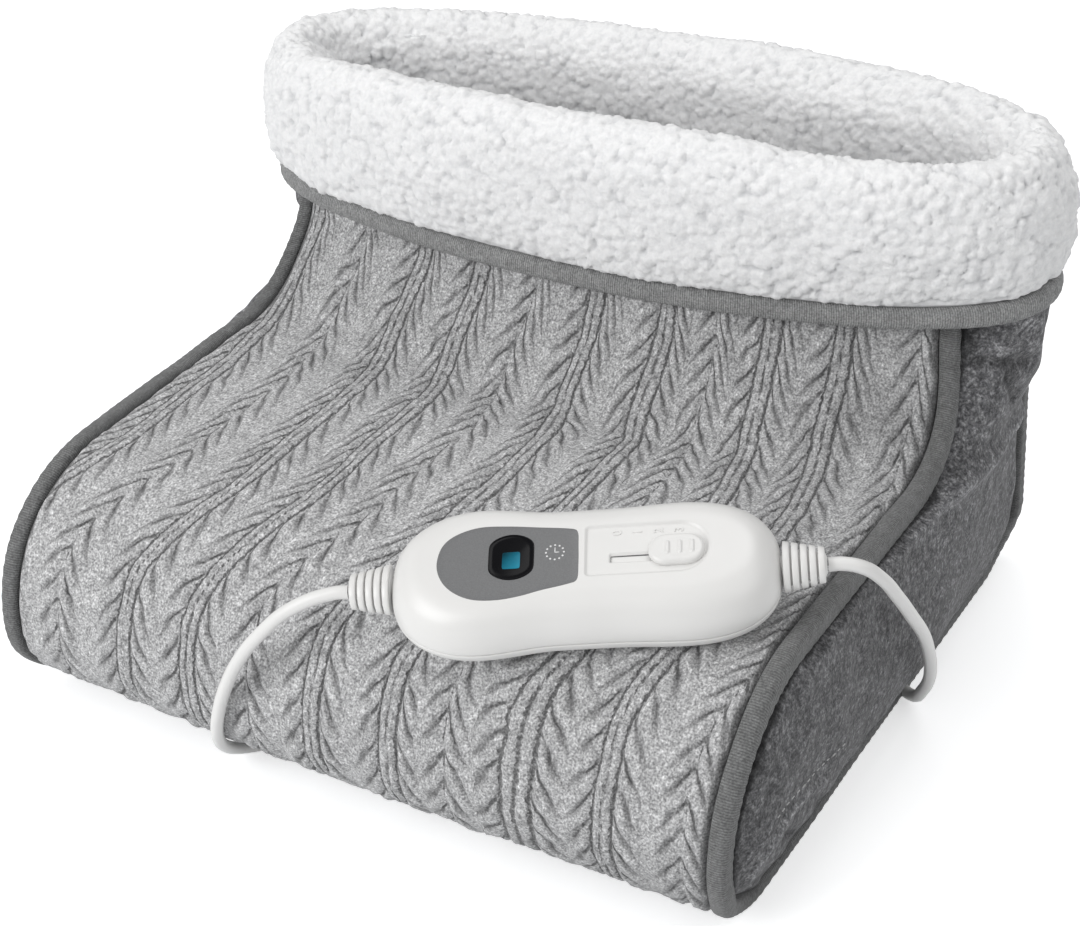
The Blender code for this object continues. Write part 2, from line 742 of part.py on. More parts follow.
def make_cuff():
    """The collar of lining turned down over the neck, and the tape on its hem."""
    under = SHELL_TOP + 2 * GAP
    top = SHELL_TOP + CUFF_RISE
    rise = top - under
    fall = under - CUFF_HEM
    section = (
        (0.0, CUFF_HEM),
        (0.0, under),
        (-CUFF_INWARD * 0.9, under),
        (-CUFF_INWARD, under + rise * 0.4),
        (-CUFF_INWARD * 0.8, under + rise * 0.82),
        (-CUFF_INWARD * 0.35, top),
        (CUFF_THICK * 0.3, under + rise * 0.85),
        (CUFF_THICK * 0.85, under + rise * 0.35),
        (CUFF_THICK, under - fall * 0.2),
        (CUFF_THICK * 0.93, under - fall * 0.6),
        (CUFF_HEM_THICK, CUFF_HEM),
    )
    ring_solid("cuff", section, "sherpa")
    low = CUFF_HEM - GAP - CUFF_TAPE_HEIGHT
    tape = (
        (0.0, low),
        (0.0, CUFF_HEM - GAP),
        (CUFF_TAPE_EDGE, CUFF_HEM - GAP),
        (CUFF_TAPE_THICK, low + CUFF_TAPE_HEIGHT / 2),
        (CUFF_TAPE_EDGE, low),
    )
    ring_solid("cuff_binding", tape, "tape")


# The heating element


def tube(name, points, radius, finish, sides_step=2, parent=None):
    """A round tube along points."""
    curve = bpy.data.curves.new(name, "CURVE")
    curve.dimensions = "3D"
    curve.bevel_depth = radius
    curve.bevel_resolution = sides_step
    curve.use_fill_caps = True
    spline = curve.splines.new("POLY")
    spline.points.add(len(points) - 1)
    for target, point in zip(spline.points, points):
        target.co = (*point, 1)
    return add_object(name, curve, finish, parent)


def wire_route(z):
    """Runs of the heating wire from side to side, joined by half turns."""
    pitch = (WIRE_BACK - WIRE_FRONT) / (WIRE_RUNS - 1)
    points = []
    for i in range(WIRE_RUNS):
        y = WIRE_FRONT + pitch * i
        side = 1 if i % 2 else -1
        points += [Vector((-side * WIRE_HALF_RUN, y, z)), Vector((side * WIRE_HALF_RUN, y, z))]
        if i < WIRE_RUNS - 1:
            for k in range(1, 5):
                turn = math.pi * k / 5
                reach = pitch / 2 * math.sin(turn)
                lift = pitch / 2 * (1 - math.cos(turn))
                points.append(Vector((side * (WIRE_HALF_RUN + reach), y + lift, z)))
    return points


def make_heater():
    """Felt carrier, wire, the two thermal cut-outs, the junction and the inlet grommet."""
    felt_low = SOLE_THICK + GAP
    felt_top = felt_low + CARRIER_THICK
    middle = Vector((0.0, (CARRIER_FRONT + CARRIER_BACK) / 2, (felt_low + felt_top) / 2))
    size = (2 * CARRIER_HALF_WIDTH, CARRIER_BACK - CARRIER_FRONT, CARRIER_THICK)
    box("heater_carrier", middle, size, "felt")
    tube("heater_wire", wire_route(felt_top + GAP + WIRE_RADIUS), WIRE_RADIUS, "heater", 1)
    rest = felt_top + GAP
    for name, y in (("thermostat", THERMOSTAT_Y), ("thermal_fuse", THERMAL_FUSE_Y)):
        box(name, Vector((CUTOUT_X, y, rest + CUTOUT_SIZE.z / 2)), CUTOUT_SIZE, "cutout")
    junction = Vector((JUNCTION_X, inlet_route()[-1].y, rest + JUNCTION_SIZE.z / 2))
    box("heater_junction", junction, JUNCTION_SIZE, "white_plastic")
    box("inlet_grommet", grommet_centre(), GROMMET_SIZE, "white_plastic")


def grommet_centre():
    """The grommet lies in the sole at the end of the inlet groove."""
    end = inlet_route()[-1]
    return Vector((end.x - GAP - GROMMET_SIZE.x / 2, end.y, GAP + GROMMET_SIZE.z / 2))


def grommet_pocket():
    """Room for the grommet in the sole's underside."""
    size = GROMMET_SIZE + Vector((GAP, GAP, GAP)) * 2
    size.z += OVERRUN
    centre = grommet_centre() - Vector((0.0, 0.0, OVERRUN / 2))
    return box("grommet_pocket", centre, size, None)


# The cords


def smooth_route(points, spacing):
    """Evenly spaced points on a smooth curve through the given ones, its two ends straight."""
    fine = []
    for i in range(1, len(points) - 2):
        p0, p1, p2, p3 = points[i - 1 : i + 3]
        for k in range(CURVE_STEPS):
            t = k / CURVE_STEPS
            linear = (p2 - p0) * t
            square = (2 * p0 - 5 * p1 + 4 * p2 - p3) * t**2
            cube = (3 * p1 - p0 - 3 * p2 + p3) * t**3
            fine.append(p1 + (linear + square + cube) / 2)
    fine.append(points[-2])
    lengths = [0.0]
    for a, b in zip(fine, fine[1:]):
        lengths.append(lengths[-1] + (b - a).length)
    count = max(round(lengths[-1] / spacing), 2)
    marks = np.linspace(0, lengths[-1], count + 1)
    columns = [np.interp(marks, lengths, [p[axis] for p in fine]) for axis in range(3)]
    return [points[0], *(Vector(values) for values in zip(*columns)), points[-1]]


def route_length(points):
    """Length along a route."""
    return sum((b - a).length for a, b in zip(points, points[1:]))


# Points that the cords run through, in millimetres: X from the right seam, Y and height
LEAD_POINTS = (
    (17.6, -57, 119.6),
    (21.8, -51.4, 113.2),
    (24.5, -42, 100.5),
    (25.6, -30, 85),
    (25.4, -15, 66.5),
    (23.9, -3.5, 50),
    (21.8, 5, 36.5),
    (18.7, 12.2, 24.5),
    (14.5, 18.4, 14.5),
    (9.8, 23.8, 6.2),
    (3.8, 28.6, 3),
    (-3, 32.8, 2.8),
    (-11, 35, 2.8),
    (-17, 35, 2.8),
)

MAINS_POINTS = (
    (-161.5, -145, 98),
    (-172.5, -149.6, 86.5),
    (-182.5, -151.6, 72),
    (-190, -151.6, 57),
    (-195.5, -149.8, 44),
    (-200, -147, 32),
    (-204, -142, 21),
    (-207, -135.1, 12),
    (-207.5, -127.8, 5.6),
    (-204.5, -121, 2.9),
    (-198.5, -114, 2.8),
    (-190.5, -107.5, 2.8),
    (-184, -99.5, 2.8),
    (-180.7, -89.5, 2.8),
    (-180, -78, 2.8),
    (-180, -40, 2.8),
    (-180, 30, 2.8),
    (-180, 110, 2.8),
    (-180, 165, 2.8),
    (-180, 190, 3.7),
)
MAINS_FLOOR_FROM = 8
LEAD_FLOOR_FROM = 9

TAIL_POINTS = (
    (-256.4, 197, 9.2),
    (-256.5, 189.5, 7.6),
    (-258, 181.5, 4.6),
    (-263, 174, 2.9),
    (-271, 169.5, 2.8),
    (-280, 169.8, 3.2),
    (-287.5, 174.5, 4.6),
    (-291.6, 182, 6.3),
    (-292.5, 187.5, 6.85),
    (-292.5, 192, 6.85),
)


def straight_start(sign):
    """A cord's first two points: where it leaves its strain relief, and one diameter on."""
    tip = relief_tip(sign)
    ahead = tip + Vector((sign * 2 * CORD_RADIUS, 0.0, 0.0))
    return [control_matrix() @ tip, control_matrix() @ ahead]


def from_seam(points):
    """Points that are given from the right seam, in the boot's frame."""
    return [Vector(p) * MM + Vector((SEAM_HALF, 0.0, 0.0)) for p in points]


def lead_route():
    """Heater lead, from the control to the inlet under the right side."""
    return [*straight_start(1), *from_seam(LEAD_POINTS)]


def mains_route():
    """Mains cord, from the control over the toe, under the sole and out behind the heel."""
    last = coil_centre() + Vector((coil_outer(), -2 * CORD_RADIUS - GAP, 0.0))
    return [*straight_start(-1), *from_seam(MAINS_POINTS), last]


def inlet_route():
    """The heater lead's last stretch, in plan."""
    return smooth_route(lead_route()[LEAD_FLOOR_FROM + 2 :], 2 * CORD_RADIUS)


def groove_route():
    """The mains cord's stretch under the sole, in plan."""
    return smooth_route(mains_route()[MAINS_FLOOR_FROM + 2 :], 4 * CORD_RADIUS)


def coil_outer():
    """Radius of the coil's outermost turn."""
    return COIL_INNER + COIL_PITCH * COIL_TURNS_PER_LAYER


def coil_centre():
    """Middle of the coil's lower layer, behind the heel."""
    x = from_seam(MAINS_POINTS)[-1].x - coil_outer()
    return Vector((x, COIL_Y, TIE_THICK + TIE_CLEAR + CORD_RADIUS))


def coil_points():
    """In on the lower layer and out on the upper one, with a straight end at each."""
    total = 2 * COIL_TURNS_PER_LAYER
    steps = round(total * COIL_STEPS)
    centre = coil_centre()
    points = []
    for i in range(steps + 1):
        turns = total * i / steps
        radius = COIL_INNER + COIL_PITCH * abs(COIL_TURNS_PER_LAYER - turns)
        climb = ease((turns - COIL_TURNS_PER_LAYER + 0.25) / 0.5)
        angle = 2 * math.pi * turns
        offset = Vector((radius * math.cos(angle), radius * math.sin(angle), COIL_PITCH * climb))
        points.append(centre + offset)
    straight = Vector((0.0, 2 * CORD_RADIUS, 0.0))
    return [points[0] - straight, *points, points[-1] - straight]


def least_gap(points, skip, diameter):
    """Least gap between parts of a wound tube that are not next to each other."""
    places = np.array([tuple(p) for p in points])
    fine = np.concatenate([places[:-1] + (places[1:] - places[:-1]) * k / 4 for k in range(4)])
    order = np.concatenate([np.arange(len(places) - 1) + k / 4 for k in range(4)])
    least = math.inf
    for place, index in zip(places, range(len(places))):
        far = np.abs(order - index) > skip
        least = min(least, np.linalg.norm(fine[far] - place, axis=1).min())
    return least - diameter


def make_tie():
    """A strap closed round all the turns."""
    centre = coil_centre()
    middle = (coil_outer() + COIL_INNER) / 2
    half = (coil_outer() - COIL_INNER) / 2 + CORD_RADIUS + TIE_CLEAR
    low = TIE_CLEAR + CORD_RADIUS
    high = COIL_PITCH + CORD_RADIUS + TIE_CLEAR
    radial = Vector((math.cos(TIE_ANGLE), math.sin(TIE_ANGLE), 0.0))
    across = Vector((-radial.y, radial.x, 0.0))
    base = centre + radial * middle
    up = Vector((0.0, 0.0, 1.0))
    rings = []
    for grow, side in ((0.0, -1), (TIE_THICK, -1), (TIE_THICK, 1), (0.0, 1)):
        sign = side * TIE_WIDTH / 2
        corners = (
            (-half - grow, -low - grow),
            (half + grow, -low - grow),
            (half + grow, high + grow),
            (-half - grow, high + grow),
        )
        rings.append([base + radial * r + up * z + across * sign for r, z in corners])
    loft("coil_tie", rings, "cord_white", closed=True, smooth=False)


def make_cords():
    """The lead, the mains cord, its coil, its tail and their tie."""
    tube("heater_lead", smooth_route(lead_route(), LEAD_SPACING), CORD_RADIUS, "cord_white")
    tube("mains_cord", smooth_route(mains_route(), MAINS_SPACING), CORD_RADIUS, "cord_white")
    coil = coil_points()
    tube("mains_coil", coil, CORD_RADIUS, "cord_white", 1)
    tail = [coil[-1] - Vector((0.0, GAP, 0.0)), *from_seam(TAIL_POINTS)]
    tube("plug_tail", smooth_route(tail, TAIL_SPACING), CORD_RADIUS, "cord_white")
    gap = least_gap(coil, COIL_STEPS / 2, 2 * CORD_RADIUS)
    parts = [smooth_route(lead_route(), LEAD_SPACING), smooth_route(mains_route(), MAINS_SPACING), coil, tail]
    lengths = ", ".join(f"{route_length(p):.3f}" for p in parts)
    print(f"coil's least gap to itself {gap / MM:.2f} mm; lead, mains, coil, tail {lengths} m")


def make_plug():
    """Flat two-pin plug, lying beside the coil with its pins to the back."""
    end = from_seam(TAIL_POINTS)[-1]
    ahead = Vector((0.0, 1.0, 0.0))
    right = Vector((1.0, 0.0, 0.0))
    up = Vector((0.0, 0.0, 1.0))
    centre = Vector((end.x, end.y + GAP, PLUG_HEIGHT / 2))
    relief = []
    for share in (0.0, 0.3, 0.34, 0.6, 0.64, 0.92, 1.0):
        radius = CORD_RADIUS + (PLUG_RELIEF_RADIUS - CORD_RADIUS) * (0.4 + 0.6 * share)
        place = centre + ahead * (PLUG_RELIEF_LENGTH * share)
        relief.append(round_ring(place, right, up, radius, radius, 12))
    loft("plug_relief", relief, "cord_white")
    body_start = centre + ahead * (PLUG_RELIEF_LENGTH + GAP)
    neck = PLUG_NECK_LENGTH / PLUG_LENGTH
    widths = (
        (0.0, 0.34),
        (neck * 0.5, 0.46),
        (neck, 0.78),
        (neck * 1.5, 0.96),
        (0.62, 1.0),
        (0.97, 0.97),
        (1.0, 0.9),
    )
    rings = []
    for share, wide in widths:
        place = body_start + ahead * (PLUG_LENGTH * share)
        tall = 0.72 + 0.28 * min(share / neck, 1.0) if share < 0.9 else wide
        rings.append(rounded_ring(place, right, up, PLUG_WIDTH / 2 * wide, PLUG_HEIGHT / 2 * tall))
    loft("plug_body", rings, "cord_white")
    face = body_start + ahead * (PLUG_LENGTH + GAP)
    for number, sign in ((1, -1), (2, 1)):
        base = face + right * (sign * PIN_SPACING / 2)
        cylinder(f"plug_pin_{number}", base, base + ahead * PIN_LENGTH, PIN_RADIUS, "brass")


def rounded_ring(centre, axis_u, axis_v, half_u, half_v):
    """Sixteen points round a soft rectangle."""
    ring = []
    for i in range(16):
        turn = 2 * math.pi * (i + 0.5) / 16
        cos, sin = math.cos(turn), math.sin(turn)
        u = half_u * math.copysign(abs(cos) ** 0.5, cos)
        v = half_v * math.copysign(abs(sin) ** 0.5, sin)
        ring.append(centre + axis_u * u + axis_v * v)
    return ring


# The hand control


def control_matrix():
    """The hand control's frame on the toe."""
    turn = Matrix.Rotation(CONTROL_YAW, 4, "Z") @ Matrix.Rotation(-CONTROL_PITCH, 4, "Y")
    return Matrix.Translation(CONTROL_PLACE) @ turn @ Matrix.Rotation(CONTROL_ROLL, 4, "X")


def relief_tip(sign):
    """Where a cord leaves its strain relief, in the control's frame."""
    reach = CONTROL_HALF_LENGTH + GAP + RELIEF_LENGTH + GAP
    return Vector((sign * reach, 0.0, RELIEF_Z))


def lobe(x):
    """How the case swells at its two ends."""
    bumps = ((LOBE_LEFT, -LOBE_PLACE), (LOBE_RIGHT, LOBE_PLACE))
    total = 0.0
    for size, place in bumps:
        total += size * math.cos(QUARTER * min(abs(x - place) / LOBE_SPREAD, 1.0)) ** 2
    return total


def case_ring(inset, z):
    """The case's outline at a height, drawn in by an inset."""
    ring = []
    half = CONTROL_HALF_LENGTH - inset
    for i in range(CASE_POINTS):
        turn = 2 * math.pi * i / CASE_POINTS
        cos, sin = math.cos(turn), math.sin(turn)
        share = math.copysign(abs(cos) ** (2 / (END_POWER - 2)), cos)
        wide = (CONTROL_HALF_WAIST + lobe(share * CONTROL_HALF_LENGTH) - inset)
        y = math.copysign(wide * max(1 - abs(share) ** END_POWER, 0.0) ** (1 / END_ROOT), sin)
        ring.append(Vector((share * half, y, z)))
    return ring


COVER_INSETS = ((0.0, 0.0), (0.29, 0.5), (0.58, 2.2), (0.79, 4.8), (0.94, 8.4), (1.0, 11.5))
BASE_INSETS = ((0.0, 0.0), (0.42, 0.9), (0.78, 3.6), (0.94, 7.5), (1.0, 12.5))


def make_case(frame):
    """Cover and base of the hand control, with their openings, bosses and screw holes."""
    rise = CONTROL_HEIGHT - CONTROL_PARTING
    outer = [case_ring(inset * MM, CONTROL_PARTING + rise * up) for up, inset in COVER_INSETS]
    inner_rise = rise - CASE_WALL
    inner = [
        case_ring(inset * MM + CASE_WALL, CONTROL_PARTING + inner_rise * up) for up, inset in COVER_INSETS
    ]
    cover = loft("control_cover", inner[::-1] + outer, "white_plastic", frame)
    low = CONTROL_PARTING - GAP
    outer = [case_ring(inset * MM, low * (1 - down)) for down, inset in BASE_INSETS]
    inner = [
        case_ring(inset * MM + CASE_WALL, CASE_WALL + (low - CASE_WALL) * (1 - down))
        for down, inset in BASE_INSETS
    ]
    base = loft("control_base", inner[::-1] + outer, "white_plastic", frame)
    for sign_x in (-1, 1):
        for sign_y in (-1, 1):
            add_boss(frame, cover, base, sign_x, sign_y)
    cut(cover, face_cutter("label_recess", label_outline(GAP), LABEL_RECESS, frame))
    cut(cover, face_cutter("window_hole", window_outline(0.0), CASE_WALL + OVERRUN, frame))
    cut(cover, face_cutter("knob_trough", trough_outline(), TROUGH_DEPTH, frame))
    cut(cover, face_cutter("knob_slot", slot_outline(), CASE_WALL + OVERRUN, frame))
    for sign in (-1, 1):
        reach = CONTROL_HALF_LENGTH + OVERRUN
        start = Vector((sign * (CONTROL_HALF_LENGTH - 3 * CASE_WALL), 0.0, RELIEF_Z))
        end = Vector((sign * reach, 0.0, RELIEF_Z))
        hole = cylinder(f"relief_hole_{sign}", start, end, RELIEF_NECK + GAP, None, frame)
        cut(cover, hole)
        cut(base, hole)


def add_boss(frame, cover, base, sign_x, sign_y):
    """A screw boss under the cover, its bore, its hole in the base and its screw."""
    place = Vector((sign_x * SCREW_PLACE.x, sign_y * SCREW_PLACE.y, 0.0))
    tag = f"{'left' if sign_x < 0 else 'right'}_{'front' if sign_y < 0 else 'back'}"
    top = CONTROL_HEIGHT - CASE_WALL / 2
    up = Vector((0.0, 0.0, 1.0))
    boss = cylinder(f"boss_{tag}", place + up * BOSS_BOTTOM, place + up * top, BOSS_RADIUS, None, frame)
    cut(cover, boss, "UNION")
    screw_top = SCREW_HEAD_HEIGHT + GAP + SCREW_LENGTH
    bore = cylinder(
        f"bore_{tag}", place - up * OVERRUN, place + up * (screw_top + GAP), SCREW_RADIUS + GAP, None, frame
    )
    cut(cover, bore)
    head = cylinder(
        f"head_room_{tag}",
        place - up * OVERRUN,
        place + up * (2 * GAP + SCREW_HEAD_HEIGHT),
        SCREW_HEAD_RADIUS + GAP,
        None,
        frame,
    )
    post_low, post_top = place + up * CASE_WALL / 2, place + up * (BOSS_BOTTOM - GAP)
    post = cylinder(f"post_{tag}", post_low, post_top, BOSS_RADIUS + CASE_WALL / 2, None, frame)
    cut(base, post, "UNION")
    cut(base, bore)
    cut(base, head)
    x_axis, y_axis = Vector((1.0, 0.0, 0.0)), Vector((0.0, 1.0, 0.0))
    levels = (
        (GAP, SCREW_HEAD_RADIUS),
        (GAP + SCREW_HEAD_HEIGHT, SCREW_HEAD_RADIUS),
        (GAP + SCREW_HEAD_HEIGHT, SCREW_RADIUS),
        (screw_top, SCREW_RADIUS),
    )
    rings = [round_ring(place + up * z, x_axis, y_axis, r, r, 12) for z, r in levels]
    loft(f"case_screw_{tag}", rings, "steel", frame)


def face_cutter(name, outline, depth, frame):
    """A cutter that goes down into the face by a depth."""
    low = CONTROL_HEIGHT - depth
    rings = [[Vector((x, y, z)) for x, y in outline] for z in (low, CONTROL_HEIGHT + OVERRUN)]
    return loft(name, rings, None, frame, smooth=False)


def label_outline(grow):
    """Round on the left, drawn in to a straight end on the right."""
    reach = LABEL_BULGE_X - LABEL_LEFT + grow
    half = LABEL_HALF_LEFT + grow
    points = []
    for i in range(13):
        turn = QUARTER + math.pi * i / 12
        points.append((LABEL_BULGE_X + reach * math.cos(turn), half * math.sin(turn)))
    span = LABEL_RIGHT - LABEL_BULGE_X
    lower = []
    for share in (0.25, 0.5, 0.75, 0.96):
        wide = LABEL_HALF_LEFT + (LABEL_HALF_RIGHT - LABEL_HALF_LEFT) * ease(share) + grow
        lower.append((LABEL_BULGE_X + span * share, -wide))
    corner = (LABEL_RIGHT + grow, -LABEL_HALF_RIGHT * 0.86)
    upper = [(x, -y) for x, y in [*lower, corner]]
    return points + lower + [corner] + upper[::-1]


def window_outline(grow):
    """A circle cut straight on its left and right."""
    half = WINDOW_HALF_WIDTH + grow
    radius = WINDOW_RADIUS + grow
    limit = math.acos(half / radius)
    points = []
    for sign in (1, -1):
        for i in range(7):
            turn = limit + (math.pi - 2 * limit) * i / 6
            points.append((WINDOW_X + sign * radius * math.cos(turn), sign * radius * math.sin(turn)))
    return points


def trough_outline():
    """The knob's shallow trough: square on the left, round on the right."""
    end = KNOB_X + KNOB_LENGTH / 2 + KNOB_CLEAR
    centre = end - TROUGH_HALF
    points = [(TROUGH_LEFT, TROUGH_HALF), (TROUGH_LEFT, -TROUGH_HALF)]
    for i in range(9):
        turn = -QUARTER + math.pi * i / 8
        points.append((centre + TROUGH_HALF * math.cos(turn), TROUGH_HALF * math.sin(turn)))
    return points


def slot_outline():
    """The slot that the knob's stem runs in."""
    left = KNOB_X - KNOB_TRAVEL - STEM_HALF.x - KNOB_CLEAR
    right = KNOB_X + STEM_HALF.x + KNOB_CLEAR
    return [(left, SLOT_HALF), (left, -SLOT_HALF), (right, -SLOT_HALF), (right, SLOT_HALF)]


def make_face(frame):
    """Label with its window, the lens in it and the display behind it."""
    floor = CONTROL_HEIGHT - LABEL_RECESS + GAP
    top = floor + LABEL_THICK
    rings = [[Vector((x, y, z)) for x, y in label_outline(0.0)] for z in (floor, top)]
    label = loft("control_label", rings, "label_grey", frame, smooth=False)
    cut(label, face_cutter("label_window", window_outline(0.0), CASE_WALL, frame))
    lens_low = CONTROL_HEIGHT - CASE_WALL
    outline = window_outline(-GAP)
    flange = window_outline(LENS_STEP)
    rings = [
        [Vector((x, y, lens_low - GAP - LENS_STEP)) for x, y in flange],
        [Vector((x, y, lens_low - GAP)) for x, y in flange],
        [Vector((x, y, lens_low - GAP)) for x, y in outline],
        [Vector((x, y, top + LENS_PROUD)) for x, y in outline],
    ]
    loft("display_lens", rings, "window_black", frame)
    board_top = BOARD_BOTTOM + BOARD_THICK
    module_top = lens_low - 2 * GAP - LENS_STEP
    size = Vector((MODULE_SIZE.x, MODULE_SIZE.y, module_top - board_top - GAP))
    box("display_module", Vector((WINDOW_X, 0.0, module_top - size.z / 2)), size, "component", frame)


def make_knob(frame):
    """The sliding knob, its stem and the contact block that it carries."""
    floor = CONTROL_HEIGHT - TROUGH_DEPTH + GAP
    half, radius = KNOB_LENGTH / 2, KNOB_WIDTH / 2
    rings = []
    for z, inset in ((floor, 0.0), (floor + KNOB_HEIGHT * 0.6, 0.02), (floor + KNOB_HEIGHT, 0.16)):
        ring = []
        for i in range(24):
            turn = 2 * math.pi * (i + 0.5) / 24
            cos, sin = math.cos(turn), math.sin(turn)
            x = math.copysign(half - radius, cos) + radius * (1 - inset) * cos
            ring.append(Vector((KNOB_X + x, radius * (1 - inset) * sin, z)))
        rings.append(ring)
    knob = loft("slide_knob", rings, "white_plastic", frame)
    top = floor + KNOB_HEIGHT
    for number in (-1, 0, 1):
        centre = Vector((KNOB_X + number * RIB_PITCH, 0.0, top))
        size = (RIB_WIDTH, RIB_LENGTH, 2 * RIB_HEIGHT)
        cut(knob, box(f"grip_rib_{number}", centre, size, None, frame), "UNION")
    switch_top = BOARD_BOTTOM + BOARD_THICK + GAP + SWITCH_SIZE.z
    contact_top = switch_top + GAP + CONTACT_SIZE.z
    stem_low = contact_top + GAP
    stem_top = floor + KNOB_HEIGHT / 2
    centre = Vector((KNOB_X, 0.0, (stem_low + stem_top) / 2))
    size = (2 * STEM_HALF.x, 2 * STEM_HALF.y, stem_top - stem_low)
    cut(knob, box("knob_stem", centre, size, None, frame), "UNION")
    contact = Vector((KNOB_X, 0.0, contact_top - CONTACT_SIZE.z / 2))
    box("slide_contact", contact, CONTACT_SIZE, "component", frame)


def make_inside(frame):
    """Circuit board and what stands on it."""
    centre = Vector((0.0, 0.0, BOARD_BOTTOM + BOARD_THICK / 2))
    size = (2 * BOARD_HALF.x, 2 * BOARD_HALF.y, BOARD_THICK)
    board = box("circuit_board", centre, size, "board", frame)
    for sign_x in (-1, 1):
        for sign_y in (-1, 1):
            place = Vector((sign_x * SCREW_PLACE.x, sign_y * SCREW_PLACE.y, 0.0))
            up = Vector((0.0, 0.0, CONTROL_HEIGHT))
            room = cylinder(
                f"board_notch_{sign_x}_{sign_y}", place, place + up, BOSS_RADIUS + CASE_WALL, None, frame
            )
            cut(board, room)
    top = BOARD_BOTTOM + BOARD_THICK + GAP
    switch_x = KNOB_X - KNOB_TRAVEL / 2
    box("switch_body", Vector((switch_x, 0.0, top + SWITCH_SIZE.z / 2)), SWITCH_SIZE, "component", frame)
    triac = Vector((TRIAC_PLACE.x, -TRIAC_PLACE.y, top + TRIAC_SIZE.z / 2))
    box("triac", triac, TRIAC_SIZE, "component", frame)
    capacitor = Vector((CAPACITOR_PLACE.x, CAPACITOR_PLACE.y + BOARD_THICK, top + CAPACITOR_SIZE.z / 2))
    box("capacitor", capacitor, CAPACITOR_SIZE, "component", frame)
    fuse = Vector((FUSE_PLACE.x, FUSE_PLACE.y, top + FUSE_RADIUS))
    reach = Vector((FUSE_LENGTH / 2, 0.0, 0.0))
    cylinder("power_fuse", fuse - reach, fuse + reach, FUSE_RADIUS, "cutout", frame, 10)


def make_relief(frame, name, sign):
    """A ribbed strain relief at one end, with a neck and a flange inside the case."""
    y_axis, z_axis = Vector((0.0, 1.0, 0.0)), Vector((0.0, 0.0, 1.0))
    start = CONTROL_HALF_LENGTH + GAP
    inside = CONTROL_HALF_LENGTH - CASE_WALL - RELIEF_FLANGE_THICK - RELIEF_FLANGE_SET
    levels = [
        (inside, RELIEF_FLANGE, RELIEF_FLANGE),
        (inside + RELIEF_FLANGE_THICK, RELIEF_FLANGE, RELIEF_FLANGE),
        (inside + RELIEF_FLANGE_THICK, RELIEF_NECK, RELIEF_NECK),
        (start, RELIEF_NECK, RELIEF_NECK),
    ]
    pitch = RELIEF_LENGTH / RELIEF_RIBS
    for i in range(RELIEF_RIBS):
        for along_rib, groove in ((0.0, 0.0), (0.6, 0.0), (0.7, 1.0), (0.9, 1.0)):
            share = (i + along_rib) / RELIEF_RIBS
            wide = RELIEF_ROOT.x + (RELIEF_TIP.x - RELIEF_ROOT.x) * share - RELIEF_RIB_DEPTH * groove
            tall = RELIEF_ROOT.y + (RELIEF_TIP.y - RELIEF_ROOT.y) * share - RELIEF_RIB_DEPTH * groove
            levels.append((start + pitch * (i + along_rib), wide, tall))
    levels.append((start + RELIEF_LENGTH, RELIEF_TIP.x - RELIEF_RIB_DEPTH, RELIEF_TIP.y - RELIEF_RIB_DEPTH))
    rings = []
    for x, wide, tall in levels:
        centre = Vector((sign * x, 0.0, RELIEF_Z))
        rings.append(round_ring(centre, y_axis, z_axis, wide, tall, 12))
    loft(name, rings, "white_plastic", frame)


def make_control():
    """The whole hand control, under one empty that holds its place."""
    frame = bpy.data.objects.new("control_frame", None)
    bpy.context.collection.objects.link(frame)
    frame.matrix_world = control_matrix()
    make_case(frame)
    make_face(frame)
    make_knob(frame)
    make_inside(frame)
    make_relief(frame, "mains_relief", -1)
    make_relief(frame, "lead_relief", 1)


def centre_on_origin():
    """Moves all so that the origin is under the middle of the boot."""
    front = TOE_FRONT - TOE_CROWN
    back = neck_middle_y() + NECK_HALF_DEPTH + CUFF_CLEAR_DEPTH + CUFF_THICK
    for item in bpy.data.objects:
        if item.parent is None:
            item.location.y -= (front + back) / 2


def main():
    """Builds the whole foot warmer."""
    for item in list(bpy.data.objects):
        bpy.data.objects.remove(item)
    make_strip()
    for side, sign in (("left", -1), ("right", 1)):
        make_side(side, sign)
        make_binding(side, sign)
    make_cuff()
    make_heater()
    make_cords()
    make_tie()
    make_plug()
    make_control()
    centre_on_origin()


main()
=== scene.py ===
"""Looks of the electric foot warmer: knit, fleece, tape, curly pile, hand control and cords."""
import json
import math

import bmesh
import bpy
import numpy as np
from mathutils import Matrix, Vector


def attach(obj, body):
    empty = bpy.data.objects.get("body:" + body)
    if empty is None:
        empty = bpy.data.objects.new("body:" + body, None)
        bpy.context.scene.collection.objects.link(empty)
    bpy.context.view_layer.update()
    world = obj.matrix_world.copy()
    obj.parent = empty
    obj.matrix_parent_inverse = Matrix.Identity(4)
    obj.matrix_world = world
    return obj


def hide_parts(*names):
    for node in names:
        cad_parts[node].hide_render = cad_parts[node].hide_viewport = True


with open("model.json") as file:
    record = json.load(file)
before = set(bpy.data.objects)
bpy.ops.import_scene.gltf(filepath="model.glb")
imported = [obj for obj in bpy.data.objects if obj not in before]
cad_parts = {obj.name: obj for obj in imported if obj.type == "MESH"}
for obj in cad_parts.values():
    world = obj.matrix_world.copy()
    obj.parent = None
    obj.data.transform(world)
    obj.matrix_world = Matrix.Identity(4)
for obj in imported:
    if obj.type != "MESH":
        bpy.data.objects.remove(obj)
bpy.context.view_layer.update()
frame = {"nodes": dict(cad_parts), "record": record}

MM = 0.001
QUARTER = math.pi / 2

